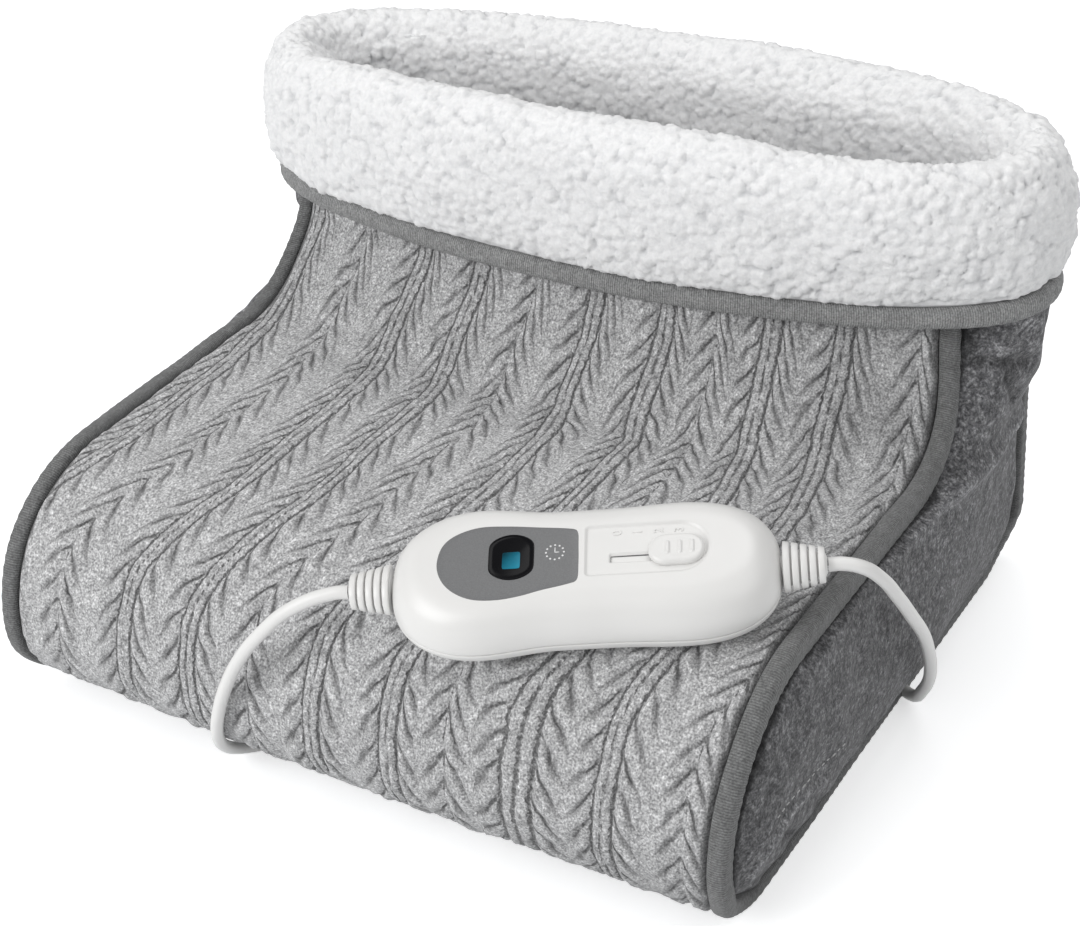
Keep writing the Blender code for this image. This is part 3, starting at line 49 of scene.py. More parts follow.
# The boot's shape, as in the model's source. Its own frame has the origin 11 mm further forward.
FRAME_SHIFT = -11 * MM
TOE_FRONT = -140 * MM
TOE_TOP = 98 * MM
TOE_UPPER_RADIUS = 58 * MM
INSTEP_RADIUS = 52 * MM
NECK_FRONT = 72 * MM
SHELL_TOP = 196 * MM
HEEL_BACK = 142 * MM
HEEL_RADIUS = 26 * MM
BACK_BEND_RADIUS = 90 * MM
BACK_LEAN = math.radians(6.3)
SEAM_HALF = 150 * MM
HALF_MM = SEAM_HALF / MM
SOLE_TUCK = 4.5 * MM
SOLE_TUCK_HEIGHT = 28 * MM
NECK_TUCK = 9 * MM
NECK_TUCK_RISE = 44 * MM
NECK_LEFT_OUT = 4.5 * MM
LEAN_DROP = 5.5 * MM
LEAN_START = 70 * MM
LEAN_RISE = 80 * MM
TOE_CROWN = 5 * MM
BACK_CROWN = 4 * MM
NECK_FRONT_CROWN = 25 * MM
NECK_BACK_CROWN = 24.5 * MM
NECK_HALF_WIDTH = 166.5 * MM
NECK_HALF_DEPTH = 53.5 * MM
OVAL_POWER = 2.25
SOLE_WRAP = math.radians(34)
HEEL_SPLIT = math.radians(45)
SIDE_PROUD = 7.5 * MM
SIDE_BULGE = 7 * MM
BULGE_RISE = 50 * MM
BULGE_BACK_END = 70 * MM
NECK_BULGE_START = 90 * MM
CUFF_CLEAR_WIDTH = 2.5 * MM
CUFF_CLEAR_DEPTH = 2 * MM

# Camera, from the photograph's perspective
CAMERA_PLACE = Vector((0.42567, -0.70379 + FRAME_SHIFT, 0.60176))
CAMERA_AZIMUTH = 0.53782
CAMERA_DOWN = 0.5649
CAMERA_ROLL = -0.02993
CAMERA_LENS = 81.816

# Hand control
CONTROL_PLACE = Vector((81.5, -106.8, 102.9)) * MM
CONTROL_YAW = math.radians(26)
CONTROL_PITCH = math.radians(5.3)
CONTROL_ROLL = math.radians(18)
CORD_DIAMETER = 5 * MM


def ease(share):
    """Smooth step from 0 to 1, for numbers and arrays."""
    share = np.clip(share, 0.0, 1.0)
    return share * share * (3 - 2 * share)


def soft_noise(a, b, size, seed):
    """Smooth random numbers from -1 to 1 over two coordinates, with features of a size."""
    rng = np.random.default_rng(seed)
    table = rng.uniform(-1, 1, (64, 64))
    a, b = np.asarray(a) / size, np.asarray(b) / size
    i, j = np.floor(a).astype(int), np.floor(b).astype(int)
    u, v = ease(a - i), ease(b - j)
    near, far = table[i % 64, j % 64], table[(i + 1) % 64, j % 64]
    low = near + (far - near) * u
    near, far = table[i % 64, (j + 1) % 64], table[(i + 1) % 64, (j + 1) % 64]
    high = near + (far - near) * u
    return low + (high - low) * v


# Shape of the boot


def seam_runs():
    """Runs of the side seam as (length, turn), from the neck's front round to its back."""
    neck = SHELL_TOP - TOE_TOP - INSTEP_RADIUS
    plateau = NECK_FRONT - INSTEP_RADIUS - TOE_FRONT - TOE_UPPER_RADIUS
    lower = TOE_TOP - TOE_UPPER_RADIUS
    sole = HEEL_BACK - HEEL_RADIUS - TOE_FRONT - lower
    heel_top = HEEL_RADIUS * (1 + math.sin(BACK_LEAN))
    bend_rise = BACK_BEND_RADIUS * math.sin(BACK_LEAN)
    back = (SHELL_TOP - neck - heel_top - bend_rise) / math.cos(BACK_LEAN)
    return [
        (neck, 0.0),
        (INSTEP_RADIUS * QUARTER, -QUARTER),
        (plateau, 0.0),
        (TOE_UPPER_RADIUS * QUARTER, QUARTER),
        (lower * QUARTER, QUARTER),
        (sole, 0.0),
        (HEEL_RADIUS * (QUARTER + BACK_LEAN), QUARTER + BACK_LEAN),
        (back, 0.0),
        (BACK_BEND_RADIUS * BACK_LEAN, -BACK_LEAN),
        (neck, 0.0),
    ]


def walk(y, z, heading, length, turn, part):
    """Goes the first part of a run, and gives the place and heading there."""
    if turn == 0.0:
        return y + part * math.cos(heading), z + part * math.sin(heading), heading
    radius = length / turn
    end = heading + part / radius
    return (
        y + radius * (math.sin(end) - math.sin(heading)),
        z - radius * (math.cos(end) - math.cos(heading)),
        end,
    )


def lay_out_seam():
    """Each run with its start, heading and distance from the neck."""
    y, z, heading, distance = NECK_FRONT, SHELL_TOP, -QUARTER, 0.0
    runs = []
    for length, turn in seam_runs():
        runs.append((y, z, heading, length, turn, distance))
        y, z, heading = walk(y, z, heading, length, turn, length)
        distance += length
    return runs


SEAM = lay_out_seam()
NECK, INSTEP, PLATEAU, TOE_UPPER, TOE_LOWER, SOLE, HEEL, BACK, BEND, NECK_BACK = range(10)


def along(run, share):
    """Distance of a place on a run, given as a share of it."""
    return SEAM[run][5] + SEAM[run][3] * share


def seam_at(distance):
    """Place on the side seam and the direction out of the boot there."""
    for y, z, heading, length, turn, start in SEAM:
        if distance <= start + length + 1e-9:
            break
    y, z, heading = walk(y, z, heading, length, turn, distance - start)
    return y, z, math.sin(heading), -math.cos(heading)


WRAP_SEAM = along(TOE_LOWER, 1 - SOLE_WRAP / QUARTER)
HEEL_SEAM = along(HEEL, HEEL_SPLIT / (QUARTER + BACK_LEAN))


def half_width(z):
    """Half the width between the seams at a height."""
    sole = SOLE_TUCK * (1 - ease(z / SOLE_TUCK_HEIGHT))
    neck = NECK_TUCK * ease((z - TOE_TOP) / NECK_TUCK_RISE)
    return SEAM_HALF - sole - neck


def spread(shares, z):
    """Half width at shares across the strip: the left front of the neck stands out more."""
    out = NECK_LEFT_OUT * ease((z - 98 * MM) / (34 * MM)) + 2.5 * MM * ease((z - 124 * MM) / (22 * MM))
    out = out - 1.4 * MM * np.exp(-(((z / MM - 100) / 14) ** 2))
    return half_width(z) + out * ease(-shares)


def lean(x, z):
    """The neck's lean, as a height to add."""
    return LEAN_DROP * x / SEAM_HALF * ease((z - LEAN_START) / LEAN_RISE)


def oval_share(share):
    """How far the neck's oval reaches at a share of its other half axis."""
    return np.maximum(1 - np.abs(share) ** OVAL_POWER, 0.0) ** (1 / OVAL_POWER)


def neck_bow(x_share):
    """The neck's oval as a bow between its seams, 1 in the middle and 0 at the seams."""
    edge_share = (SEAM_HALF - NECK_TUCK) / NECK_HALF_WIDTH
    edge = oval_share(edge_share)
    return (oval_share(x_share * edge_share) - edge) / (1 - edge)


def strip_row(distance, shares, height):
    """Points across the strip at a distance along it, raised from its face by heights."""
    y, z, out_y, out_z = seam_at(distance)
    front_low, front_high = along(PLATEAU, 0.5), along(INSTEP, 0.5)
    front = ease((front_low - distance) / (front_low - front_high))
    back_low, back_high = along(BACK, 0.5), along(BEND, 0.0)
    back = ease((distance - back_low) / (back_high - back_low))
    toe = TOE_CROWN * (1 - front) * ease((WRAP_SEAM - distance) / (WRAP_SEAM - along(TOE_LOWER, 0)))
    heel = BACK_CROWN * (1 - back) * ease((distance - HEEL_SEAM) / (along(BACK, 0.3) - HEEL_SEAM))
    swell = (toe + heel) * (1 - shares**2) + height
    shift = neck_bow(shares) * (NECK_BACK_CROWN * back - NECK_FRONT_CROWN * front)
    x = shares * spread(shares, z)
    z_all = z + out_z * swell
    row = np.stack([x, y + out_y * swell + shift + FRAME_SHIFT, z_all + lean(x, z_all)], axis=-1)
    return row


def neck_middle_y():
    """Middle of the neck's oval."""
    return NECK_FRONT - NECK_FRONT_CROWN + NECK_HALF_DEPTH


# Making meshes

# A padded piece has a fine face and a coarse back, with a line for every so many of the face's
BACK_STEP = 6
KNIT_BACK_STEP = 8


def grid_quads(rows, columns, first=0, flip=False):
    """Faces of a grid of points."""
    i, j = np.meshgrid(np.arange(rows - 1), np.arange(columns - 1), indexing="ij")
    a = (first + i * columns + j).ravel()
    quads = np.stack([a, a + columns, a + columns + 1, a + 1], axis=-1)
    return quads[:, ::-1] if flip else quads


def toe_curl(points):
    """How far the left corner of the toe curls up off the floor."""
    x, y, z = (points[:, axis] / MM for axis in range(3))
    return 2.6 * ease((-x - 25) / 105) * (1 - ease((y + 111) / 60)) * (1 - ease(z / 48)) * MM


def new_object(name, data):
    """Puts a new object in the scene."""
    made = bpy.data.objects.new(name, data)
    bpy.context.scene.collection.objects.link(made)
    return made


def face_outwards(mesh):
    """Turns all faces of a mesh outwards."""
    build = bmesh.new()
    build.from_mesh(mesh)
    bmesh.ops.recalc_face_normals(build, faces=build.faces)
    build.to_mesh(mesh)
    build.free()


def finish_piece(name, points, faces, material, uv=None, values=None, body="root"):
    """Makes a smooth mesh piece whose faces point outwards, with a UV map and named values."""
    points = np.array(points, dtype=float)
    points[:, 2] += toe_curl(points)
    mesh = bpy.data.meshes.new(name)
    mesh.from_pydata([tuple(p) for p in points], [], [tuple(int(i) for i in f) for f in faces])
    face_outwards(mesh)
    mesh.shade_smooth()
    if uv is not None:
        layer = mesh.uv_layers.new(name="UVMap")
        corner = np.zeros(len(mesh.loops), dtype=np.int32)
        mesh.loops.foreach_get("vertex_index", corner)
        layer.data.foreach_set("uv", np.asarray(uv, dtype=np.float32)[corner].ravel())
    for key, value in (values or {}).items():
        attribute = mesh.attributes.new(key, "FLOAT", "POINT")
        attribute.data.foreach_set("value", np.asarray(value, dtype=np.float32).ravel())
    piece = new_object(name, mesh)
    mesh.materials.append(material)
    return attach(piece, body)


def closed_sheet(name, face, back, step, material, uv, values=None):
    """A fine face grid over a coarse back grid, joined round their edges."""
    rows, columns = face.shape[:2]
    low_rows, low_columns = back.shape[:2]
    points = np.concatenate([face.reshape(-1, 3), back.reshape(-1, 3)])
    shift = rows * columns
    faces = [*grid_quads(rows, columns), *grid_quads(low_rows, low_columns, shift, True)]
    edges = (
        ([(0, j) for j in range(columns)], [(0, j) for j in range(low_columns)]),
        ([(rows - 1, j) for j in range(columns)], [(low_rows - 1, j) for j in range(low_columns)]),
        ([(i, 0) for i in range(rows)], [(i, 0) for i in range(low_rows)]),
        ([(i, columns - 1) for i in range(rows)], [(i, low_columns - 1) for i in range(low_rows)]),
    )
    for fine, coarse in edges:
        fine = [i * columns + j for i, j in fine]
        coarse = [shift + i * low_columns + j for i, j in coarse]
        for k in range(len(coarse) - 1):
            run = fine[k * step : (k + 1) * step + 1]
            faces += [(coarse[k], a, b) for a, b in zip(run, run[1:])]
            faces.append((coarse[k], run[-1], coarse[k + 1]))
    uv_all = np.concatenate([uv.reshape(-1, 2), uv[::step, ::step].reshape(-1, 2)])
    all_values = {}
    for key, value in (values or {}).items():
        all_values[key] = np.concatenate([value.ravel(), value[::step, ::step].ravel()])
    return finish_piece(name, points, faces, material, uv_all, all_values)


def on_step(count, step):
    """The nearest number of grid lines that a coarse grid of a step fits."""
    return max(round((count - 1) / step), 1) * step + 1


def loft_piece(name, rings, material, closed=False, body="root", uv_scale=(1.0, 1.0), values=None):
    """Rings of points joined in order, capped at both ends or closed on themselves."""
    rings = np.asarray(rings, dtype=float)
    count, sides = rings.shape[:2]
    last = count if closed else count - 1
    faces = []
    for i in range(last):
        a, b = i * sides, (i + 1) % count * sides
        for j in range(sides):
            k = (j + 1) % sides
            faces.append((a + j, a + k, b + k, b + j))
    if not closed:
        faces.append(tuple(reversed(range(sides))))
        faces.append(tuple(range((count - 1) * sides, count * sides)))
    steps = np.linalg.norm(np.diff(rings.mean(axis=1), axis=0), axis=1)
    run = np.concatenate([[0.0], np.cumsum(steps)])
    round_share = np.arange(sides) / sides
    uv = np.stack(np.meshgrid(round_share * uv_scale[0], run * uv_scale[1]), axis=-1)
    return finish_piece(name, rings.reshape(-1, 3), faces, material, uv.reshape(-1, 2), values, body)


# Materials


class Shader:
    """A small builder of node materials."""

    def __init__(self, name, colour, roughness=0.5, **sockets):
        self.material = bpy.data.materials.new(name)
        self.material.use_nodes = True
        self.tree = self.material.node_tree
        self.main = self.tree.nodes["Principled BSDF"]
        self.set(self.main, "Base Color", (*colour, 1))
        self.set(self.main, "Roughness", roughness)
        for key, value in sockets.items():
            self.set(self.main, key.replace("_", " "), value)
        self.bump_before = None

    def set(self, node, socket, value):
        """Sets a socket's own value."""
        node.inputs[socket].default_value = value

    def node(self, kind, **settings):
        """Adds a node with its settings."""
        made = self.tree.nodes.new(kind)
        for key, value in settings.items():
            setattr(made, key, value)
        return made

    def link(self, source, target):
        """Joins two sockets."""
        self.tree.links.new(source, target)

    def coordinates(self, which="Object"):
        """Object or UV coordinates."""
        return self.node("ShaderNodeTexCoord").outputs[which]

    def noise(self, vector, scale, detail=3.0, rough=0.6):
        """A noise pattern."""
        made = self.node("ShaderNodeTexNoise")
        self.set(made, "Scale", scale)
        self.set(made, "Detail", detail)
        self.set(made, "Roughness", rough)
        self.link(vector, made.inputs["Vector"])
        return made.outputs["Fac"]

    def wave(self, vector, scale, direction="X", distort=0.0, detail=2.0):
        """A wave pattern of ridges."""
        made = self.node("ShaderNodeTexWave", bands_direction=direction)
        self.set(made, "Scale", scale)
        self.set(made, "Distortion", distort)
        self.set(made, "Detail", detail)
        self.link(vector, made.inputs["Vector"])
        return made.outputs["Fac"]

    def value(self, name):
        """One of the piece's own named values."""
        return self.node("ShaderNodeAttribute", attribute_name=name).outputs["Fac"]

    def math(self, operation, first, second=None):
        """A math node of sockets or numbers."""
        made = self.node("ShaderNodeMath", operation=operation)
        for slot, item in enumerate((first, second)):
            if item is None:
                continue
            if isinstance(item, (int, float)):
                made.inputs[slot].default_value = item
            else:
                self.link(item, made.inputs[slot])
        return made.outputs[0]

    def span(self, source, low, high, first, last):
        """Goes smoothly from one value to another while the source goes over a span."""
        made = self.node("ShaderNodeMapRange", interpolation_type="SMOOTHSTEP")
        for slot, item in zip((1, 2, 3, 4), (low, high, first, last)):
            made.inputs[slot].default_value = item
        self.link(source, made.inputs[0])
        return made.outputs[0]

    def ramp(self, source, stops):
        """A colour ramp."""
        made = self.node("ShaderNodeValToRGB")
        ramp = made.color_ramp
        while len(ramp.elements) < len(stops):
            ramp.elements.new(0.5)
        for element, (place, colour) in zip(ramp.elements, stops):
            element.position = place
            element.color = (*colour, 1)
        self.link(source, made.inputs["Fac"])
        return made.outputs["Color"]

    def greys(self, source, *stops):
        """A ramp of greys, as places and levels."""
        return self.ramp(source, [(place, (level,) * 3) for place, level in stops])

    def times(self, *colours):
        """Colours multiplied together."""
        result = colours[0]
        for colour in colours[1:]:
            made = self.node("ShaderNodeMix", data_type="RGBA", blend_type="MULTIPLY")
            made.inputs[0].default_value = 1.0
            self.link(result, made.inputs[6])
            self.link(colour, made.inputs[7])
            result = made.outputs[2]
        return result

    def bump(self, height, strength, distance):
        """Adds a bump, on top of any earlier one."""
        made = self.node("ShaderNodeBump")
        self.set(made, "Strength", strength)
        self.set(made, "Distance", distance)
        self.link(height, made.inputs["Height"])
        if self.bump_before is not None:
            self.link(self.bump_before, made.inputs["Normal"])
        self.bump_before = made.outputs["Normal"]
        self.link(self.bump_before, self.main.inputs["Normal"])

    def colour(self, source):
        """Takes the base colour from a socket."""
        self.link(source, self.main.inputs["Base Color"])

    def rough(self, source):
        """Takes the roughness from a socket."""
        self.link(source, self.main.inputs["Roughness"])


def stretched(shader, vector, scale):
    """Coordinates scaled along each axis."""
    made = shader.node("ShaderNodeMapping")
    made.inputs["Scale"].default_value = scale
    shader.link(vector, made.inputs["Vector"])
    return made.outputs["Vector"]


def knit_wool():
    """Light grey melange yarn and loose fibres, with painted shade in the thin grooves between its strands,
    along its hem, and at the neck and toe.
    """
    s = Shader("knit_wool", (0.4, 0.4, 0.405), 0.95, Sheen_Weight=0.12, Sheen_Roughness=0.6)
    at = s.coordinates()
    fibre = s.noise(at, 1250, 1.0, 0.5)
    fleck = s.noise(at, 560, 3.0, 0.65)
    hair = s.noise(stretched(s, at, (1.0, 0.35, 0.35)), 1500, 1.0, 0.5)
    patch = s.noise(at, 130, 3.0, 0.6)
    gaps = s.noise(at, 150, 2.0, 0.6)
    lane, rib, turns = s.value("lane"), s.value("rib"), s.value("turns")
    jag = s.math("SUBTRACT", s.noise(at, 430, 3.0, 0.65), 0.5)
    wander = s.math("MULTIPLY", jag, 2.6)
    middle = s.math("ABSOLUTE", s.math("ADD", lane, s.math("MULTIPLY", wander, 0.7)))
    no_rib = s.math("MULTIPLY", s.math("SUBTRACT", 1.0, rib), 20.0)
    flank = s.math("ABSOLUTE", s.math("ADD", s.math("SUBTRACT", lane, 3.6), wander))
    flank = s.math("ADD", flank, no_rib)
    soft = s.math("MULTIPLY", s.math("SUBTRACT", 1.0, rib), 0.28)
    # Painted shade: the dark lines, arms and hollows below darken the yarn where the knit's relief dips
    # between its strands.
    lines = s.span(s.math("MINIMUM", s.math("ADD", middle, soft), flank), 0.12, 0.75, 1.0, 0.0)
    arm = s.math("MAXIMUM", s.math("SUBTRACT", lane, s.math("MULTIPLY", rib, 3.9)), 0.0)
    wave = s.math("ADD", turns, s.math("MULTIPLY", jag, 0.24))
    fold = s.math("SUBTRACT", s.math("FRACT", s.math("ADD", wave, 0.5)), 0.5)
    across = s.math("MULTIPLY", s.math("ABSOLUTE", fold), 6.6)
    start = s.span(arm, 0.0, 0.9, 0.3, 1.0)
    arms = s.math("MULTIPLY", s.span(across, 0.12, 0.95, 1.0, 0.0), start)
    arms = s.math("MULTIPLY", arms, s.span(arm, 4.0, 9.5, 1.0, 0.0))
    arms = s.math("MULTIPLY", arms, s.span(gaps, 0.34, 0.56, 0.45, 1.1))
    middle_of_arm = s.math("ABSOLUTE", s.math("SUBTRACT", arm, 5.0))
    painted_hollow_shade = s.math("ADD", across, s.math("MULTIPLY", middle_of_arm, 0.34))
    painted_hollow_shade = s.math("MULTIPLY", s.span(painted_hollow_shade, 0.3, 2.5, 0.62, 0.0), start)
    dark = s.math("MAXIMUM", s.math("MAXIMUM", lines, arms), painted_hollow_shade)
    # Painted shade along the hem, from the piece's groove value.
    dark = s.math("MAXIMUM", dark, s.value("groove"))
    broken = s.span(fleck, 0.32, 0.6, 0.6, 1.05)
    dark = s.math("MULTIPLY", dark, broken)
    yarn = ((0.3, (0.23, 0.23, 0.234)), (0.5, (0.4, 0.4, 0.404)), (0.7, (0.62, 0.62, 0.625)))
    tone = s.ramp(fibre, yarn)
    mid = s.greys(fleck, (0.32, 0.72), (0.5, 1.0), (0.68, 1.24))
    pale = s.greys(hair, (0.55, 1.0), (0.72, 1.3))
    cloud = s.greys(patch, (0.35, 0.9), (0.65, 1.08))
    deep = s.greys(dark, (0.0, 1.0), (0.4, 0.62), (1.0, 0.22))
    # Painted shade at the neck and toe, from the piece's own value.
    dim = s.greys(s.value("dim"), (0.0, 1.0), (1.0, 0.7))
    s.colour(s.times(tone, mid, cloud, pale, deep, dim))
    s.bump(s.math("SUBTRACT", 1.0, dark), 0.7, 0.0012)
    s.bump(fleck, 0.5, 0.0009)
    s.bump(fibre, 0.5, 0.0005)
    return s.material


def side_fleece():
    """Dark grey brushed fleece with paler fibres, painted shade at its seams and in its hollows, and painted
    light on its folds.
    """
    s = Shader("brushed_fleece", (0.1, 0.1, 0.104), 1.0, Sheen_Weight=0.15, Sheen_Roughness=0.5)
    at = s.coordinates()
    fibre = s.noise(at, 1150, 1.0, 0.5)
    nap = s.noise(at, 430, 3.0, 0.65)
    strand = s.noise(stretched(s, at, (1.0, 0.45, 1.3)), 800, 1.0, 0.5)
    patch = s.noise(at, 110, 3.0, 0.6)
    brushed = ((0.33, (0.042, 0.042, 0.045)), (0.5, (0.092, 0.092, 0.096)), (0.66, (0.19, 0.19, 0.195)))
    tone = s.ramp(nap, brushed)
    fine = s.greys(fibre, (0.32, 0.6), (0.5, 1.0), (0.68, 1.5))
    pale = s.greys(strand, (0.55, 1.0), (0.72, 1.35))
    # Painted light on the folds and on the rear and upper parts of the side.
    worn = s.greys(s.value("worn"), (0.0, 0.94), (1.0, 1.75))
    cloud = s.greys(patch, (0.3, 0.72), (0.7, 1.3))
    # Painted shade at the seams and in the creases and dents.
    edge = s.greys(s.value("seam"), (0.0, 1.0), (1.0, 0.28))
    s.colour(s.times(tone, fine, cloud, pale, worn, edge))
    s.bump(patch, 0.5, 0.0015)
    s.bump(nap, 0.6, 0.001)
    s.bump(fibre, 0.4, 0.0004)
    return s.material


def woven_tape(name, colour, ribs):
    """Binding tape with fine ribs across it, and painted shade where a piece gives it."""
    s = Shader(name, colour, 0.85, Sheen_Weight=0.15)
    uv = s.coordinates("UV")
    rib = s.wave(uv, ribs, "Y", 0.9, 1.0)
    weave = s.noise(s.coordinates(), 1300, 1.0, 0.5)
    patch = s.noise(s.coordinates(), 260, 3.0, 0.6)
    dark, light = (tuple(c * level for c in colour) for level in (0.68, 1.32))
    tone = s.ramp(weave, ((0.3, dark), (0.7, light)))
    shade = s.greys(rib, (0.0, 0.62), (0.55, 1.05))
    cloud = s.greys(patch, (0.35, 0.86), (0.65, 1.12))
    # Painted shade from the piece's own value.
    tucked = s.greys(s.value("tucked"), (0.0, 1.0), (1.0, 0.5))
    s.colour(s.times(tone, shade, cloud, tucked))
    s.bump(rib, 0.6, 0.0005)
    s.bump(weave, 0.4, 0.0003)
    return s.material


def curly_pile():
    """White curly pile, with painted shade between its curls."""
    s = Shader("curly_pile", (0.84, 0.84, 0.845), 1.0, Sheen_Weight=0.25, Sheen_Roughness=0.7)
    at = s.coordinates()
    fibre = s.noise(at, 1100, 2.0, 0.6)
    curl = s.noise(at, 420, 3.0, 0.6)
    tone = s.ramp(curl, ((0.32, (0.74, 0.744, 0.752)), (0.6, (0.835, 0.835, 0.837))))
    gaps = ((0.16, (1.0, 1.0, 1.0)), (0.55, (0.8, 0.804, 0.812)), (1.0, (0.13, 0.132, 0.134)))
    shade = s.ramp(s.value("deep"), gaps)
    s.colour(s.times(tone, shade))
    s.bump(curl, 0.5, 0.0008)
    s.bump(fibre, 0.5, 0.0004)
    return s.material


def moulded_plastic(name, colour, roughness=0.38):
    """Satin moulded plastic with a very fine grain."""
    s = Shader(name, colour, roughness, Coat_Weight=0.12, Coat_Roughness=0.25)
    at = s.coordinates()
    grain = s.noise(at, 2600, 2.0, 0.5)
    cloud = s.noise(at, 40, 2.0, 0.5)
    dark, light = tuple(c * 0.985 for c in colour), tuple(min(c * 1.01, 1) for c in colour)
    s.colour(s.ramp(cloud, ((0.3, dark), (0.7, light))))
    s.rough(s.math("ADD", s.math("MULTIPLY", grain, 0.12), roughness - 0.06))
    s.bump(grain, 0.06, 0.0001)
    return s.material


def plain_finish(name, colour, roughness, metallic=0.0, grain=900, depth=0.0002):
    """A plain finish with a slight grain and variation."""
    s = Shader(name, colour, roughness, Metallic=metallic)
    pattern = s.noise(s.coordinates(), grain, 3.0, 0.6)
    dark, light = tuple(c * 0.85 for c in colour), tuple(min(c * 1.12, 1) for c in colour)
    s.colour(s.ramp(pattern, ((0.3, dark), (0.7, light))))
    s.bump(pattern, 0.2, depth)
    return s.material


def window_gloss():
    """Black polished window."""
    s = Shader("window_gloss", (0.003, 0.003, 0.004), 0.12, Specular_IOR_Level=0.12)
    dust = s.noise(s.coordinates(), 500, 2.0, 0.5)
    s.rough(s.math("ADD", s.math("MULTIPLY", dust, 0.06), 0.1))
    return s.material


def lit_symbol():
    """The lit square under the window: brighter low down on its left."""
    s = Shader("lit_symbol", (0.0, 0.02, 0.03), 0.2, Specular_IOR_Level=0.1)
    down = s.value("shade")
    haze = s.math("MULTIPLY", s.math("SUBTRACT", s.noise(s.coordinates(), 400, 2.0, 0.5), 0.5), 0.2)
    blues = ((0.15, (0.015, 0.21, 0.31)), (0.5, (0.008, 0.12, 0.18)), (0.85, (0.002, 0.02, 0.03)))
    glow = s.ramp(s.math("ADD", down, haze), blues)
    s.link(glow, s.main.inputs["Emission Color"])
    s.set(s.main, "Emission Strength", 1.0)
    return s.material


KNIT = knit_wool()
FLEECE = side_fleece()
TAPE = woven_tape("binding_tape", (0.165, 0.167, 0.167), 340.0)
CUFF_TAPE = woven_tape("cuff_tape", (0.29, 0.292, 0.292), 340.0)
PILE = curly_pile()
WHITE_PLASTIC = moulded_plastic("white_plastic", (0.73, 0.725, 0.712))
CORD_SHEATH = moulded_plastic("cord_sheath", (0.74, 0.736, 0.726), 0.45)
LABEL_FILM = plain_finish("label_film", (0.158, 0.16, 0.163), 0.42, 0.0, 2200, 0.00005)
WINDOW = window_gloss()
LIT = lit_symbol()
# Painted shadow for the dark sheets in the slider's groove.
PAINTED_SLOT_SHADOW = plain_finish("slot_shadow", (0.12, 0.12, 0.12), 0.8)
PRINT_WHITE = plain_finish("print_white", (0.7, 0.7, 0.7), 0.5, 0.0, 2000, 0.00002)
THREAD = plain_finish("thread", (0.5, 0.5, 0.5), 0.8)
WADDING = plain_finish("wadding_fibre", (0.79, 0.794, 0.8), 1.0, 0.0, 700, 0.0008)
FELT = plain_finish("felt", (0.6, 0.6, 0.57), 1.0, 0.0, 900, 0.0005)
HEATER = plain_finish("heater_sheath", (0.6, 0.1, 0.07), 0.5)
BARE_CAN = plain_finish("bare_can", (0.55, 0.55, 0.57), 0.35, 1.0)
BOARD = plain_finish("board_lacquer", (0.03, 0.2, 0.07), 0.4)
COMPONENT = plain_finish("component_black", (0.03, 0.03, 0.033), 0.5)
STEEL = plain_finish("zinc_steel", (0.55, 0.55, 0.57), 0.32, 1.0)
BRASS = plain_finish("plated_brass", (0.7, 0.66, 0.55), 0.25, 1.0)

SLOT_FINISHES = {
    "knit": KNIT,
    "side_fleece": FLEECE,
    "tape": TAPE,
    "sherpa": PILE,
    "wadding": WADDING,
    "felt": FELT,
    "heater": HEATER,
    "cutout": BARE_CAN,
    "white_plastic": WHITE_PLASTIC,
    "cord_white": CORD_SHEATH,
    "label_grey": LABEL_FILM,
    "window_black": WINDOW,
    "board": BOARD,
    "component": COMPONENT,
    "steel": STEEL,
    "brass": BRASS,
}


def dress_nodes():
    """Gives every carried-over node its material."""
    for entry in frame["record"]["subparts"]:
        node = frame["nodes"][entry["node"]]
        node.data.materials.clear()
        node.data.materials.append(SLOT_FINISHES[entry["material_slot"]])


# Camera, light and floor


def add_camera():
    """The camera where the photograph was taken from."""
    data = bpy.data.cameras.new("camera")
    data.lens = CAMERA_LENS
    data.sensor_width = 36.0
    data.sensor_fit = "HORIZONTAL"
    ahead = Vector(
        (
            -math.sin(CAMERA_AZIMUTH) * math.cos(CAMERA_DOWN),
            math.cos(CAMERA_AZIMUTH) * math.cos(CAMERA_DOWN),
            -math.sin(CAMERA_DOWN),
        )
    )
    level = Vector((math.cos(CAMERA_AZIMUTH), math.sin(CAMERA_AZIMUTH), 0.0))
    upright = level.cross(ahead)
    right = level * math.cos(CAMERA_ROLL) + upright * math.sin(CAMERA_ROLL)
    up = upright * math.cos(CAMERA_ROLL) - level * math.sin(CAMERA_ROLL)
    camera = new_object("camera", data)
    turn = Matrix((right, up, -ahead)).transposed().to_4x4()
    camera.matrix_world = Matrix.Translation(CAMERA_PLACE) @ turn
    bpy.context.scene.camera = camera


LAMPS = (
    ("key", (-0.8, -1.6, 1.0), (0.0, 0.0, 0.08), 1.1, 22.5),
    ("fill", (1.3, -0.2, 1.4), (0.0, 0.0, 0.1), 1.2, 5.5),
    ("top", (0.0, 0.5, 1.7), (0.0, 0.0, 0.1), 1.0, 7.5),
)
WORLD_LIGHT = 0.45
FLOOR_GLOW = 0.52
FLOOR_REACH = 30.0


def add_light(name, place, aim, size, power):
    """A soft square lamp."""
    data = bpy.data.lights.new(name, "AREA")
    data.shape = "SQUARE"
    data.size = size
    data.energy = power
    lamp = new_object(name, data)
    lamp.location = place
    lamp.rotation_euler = (Vector(aim) - Vector(place)).to_track_quat("-Z", "Y").to_euler()


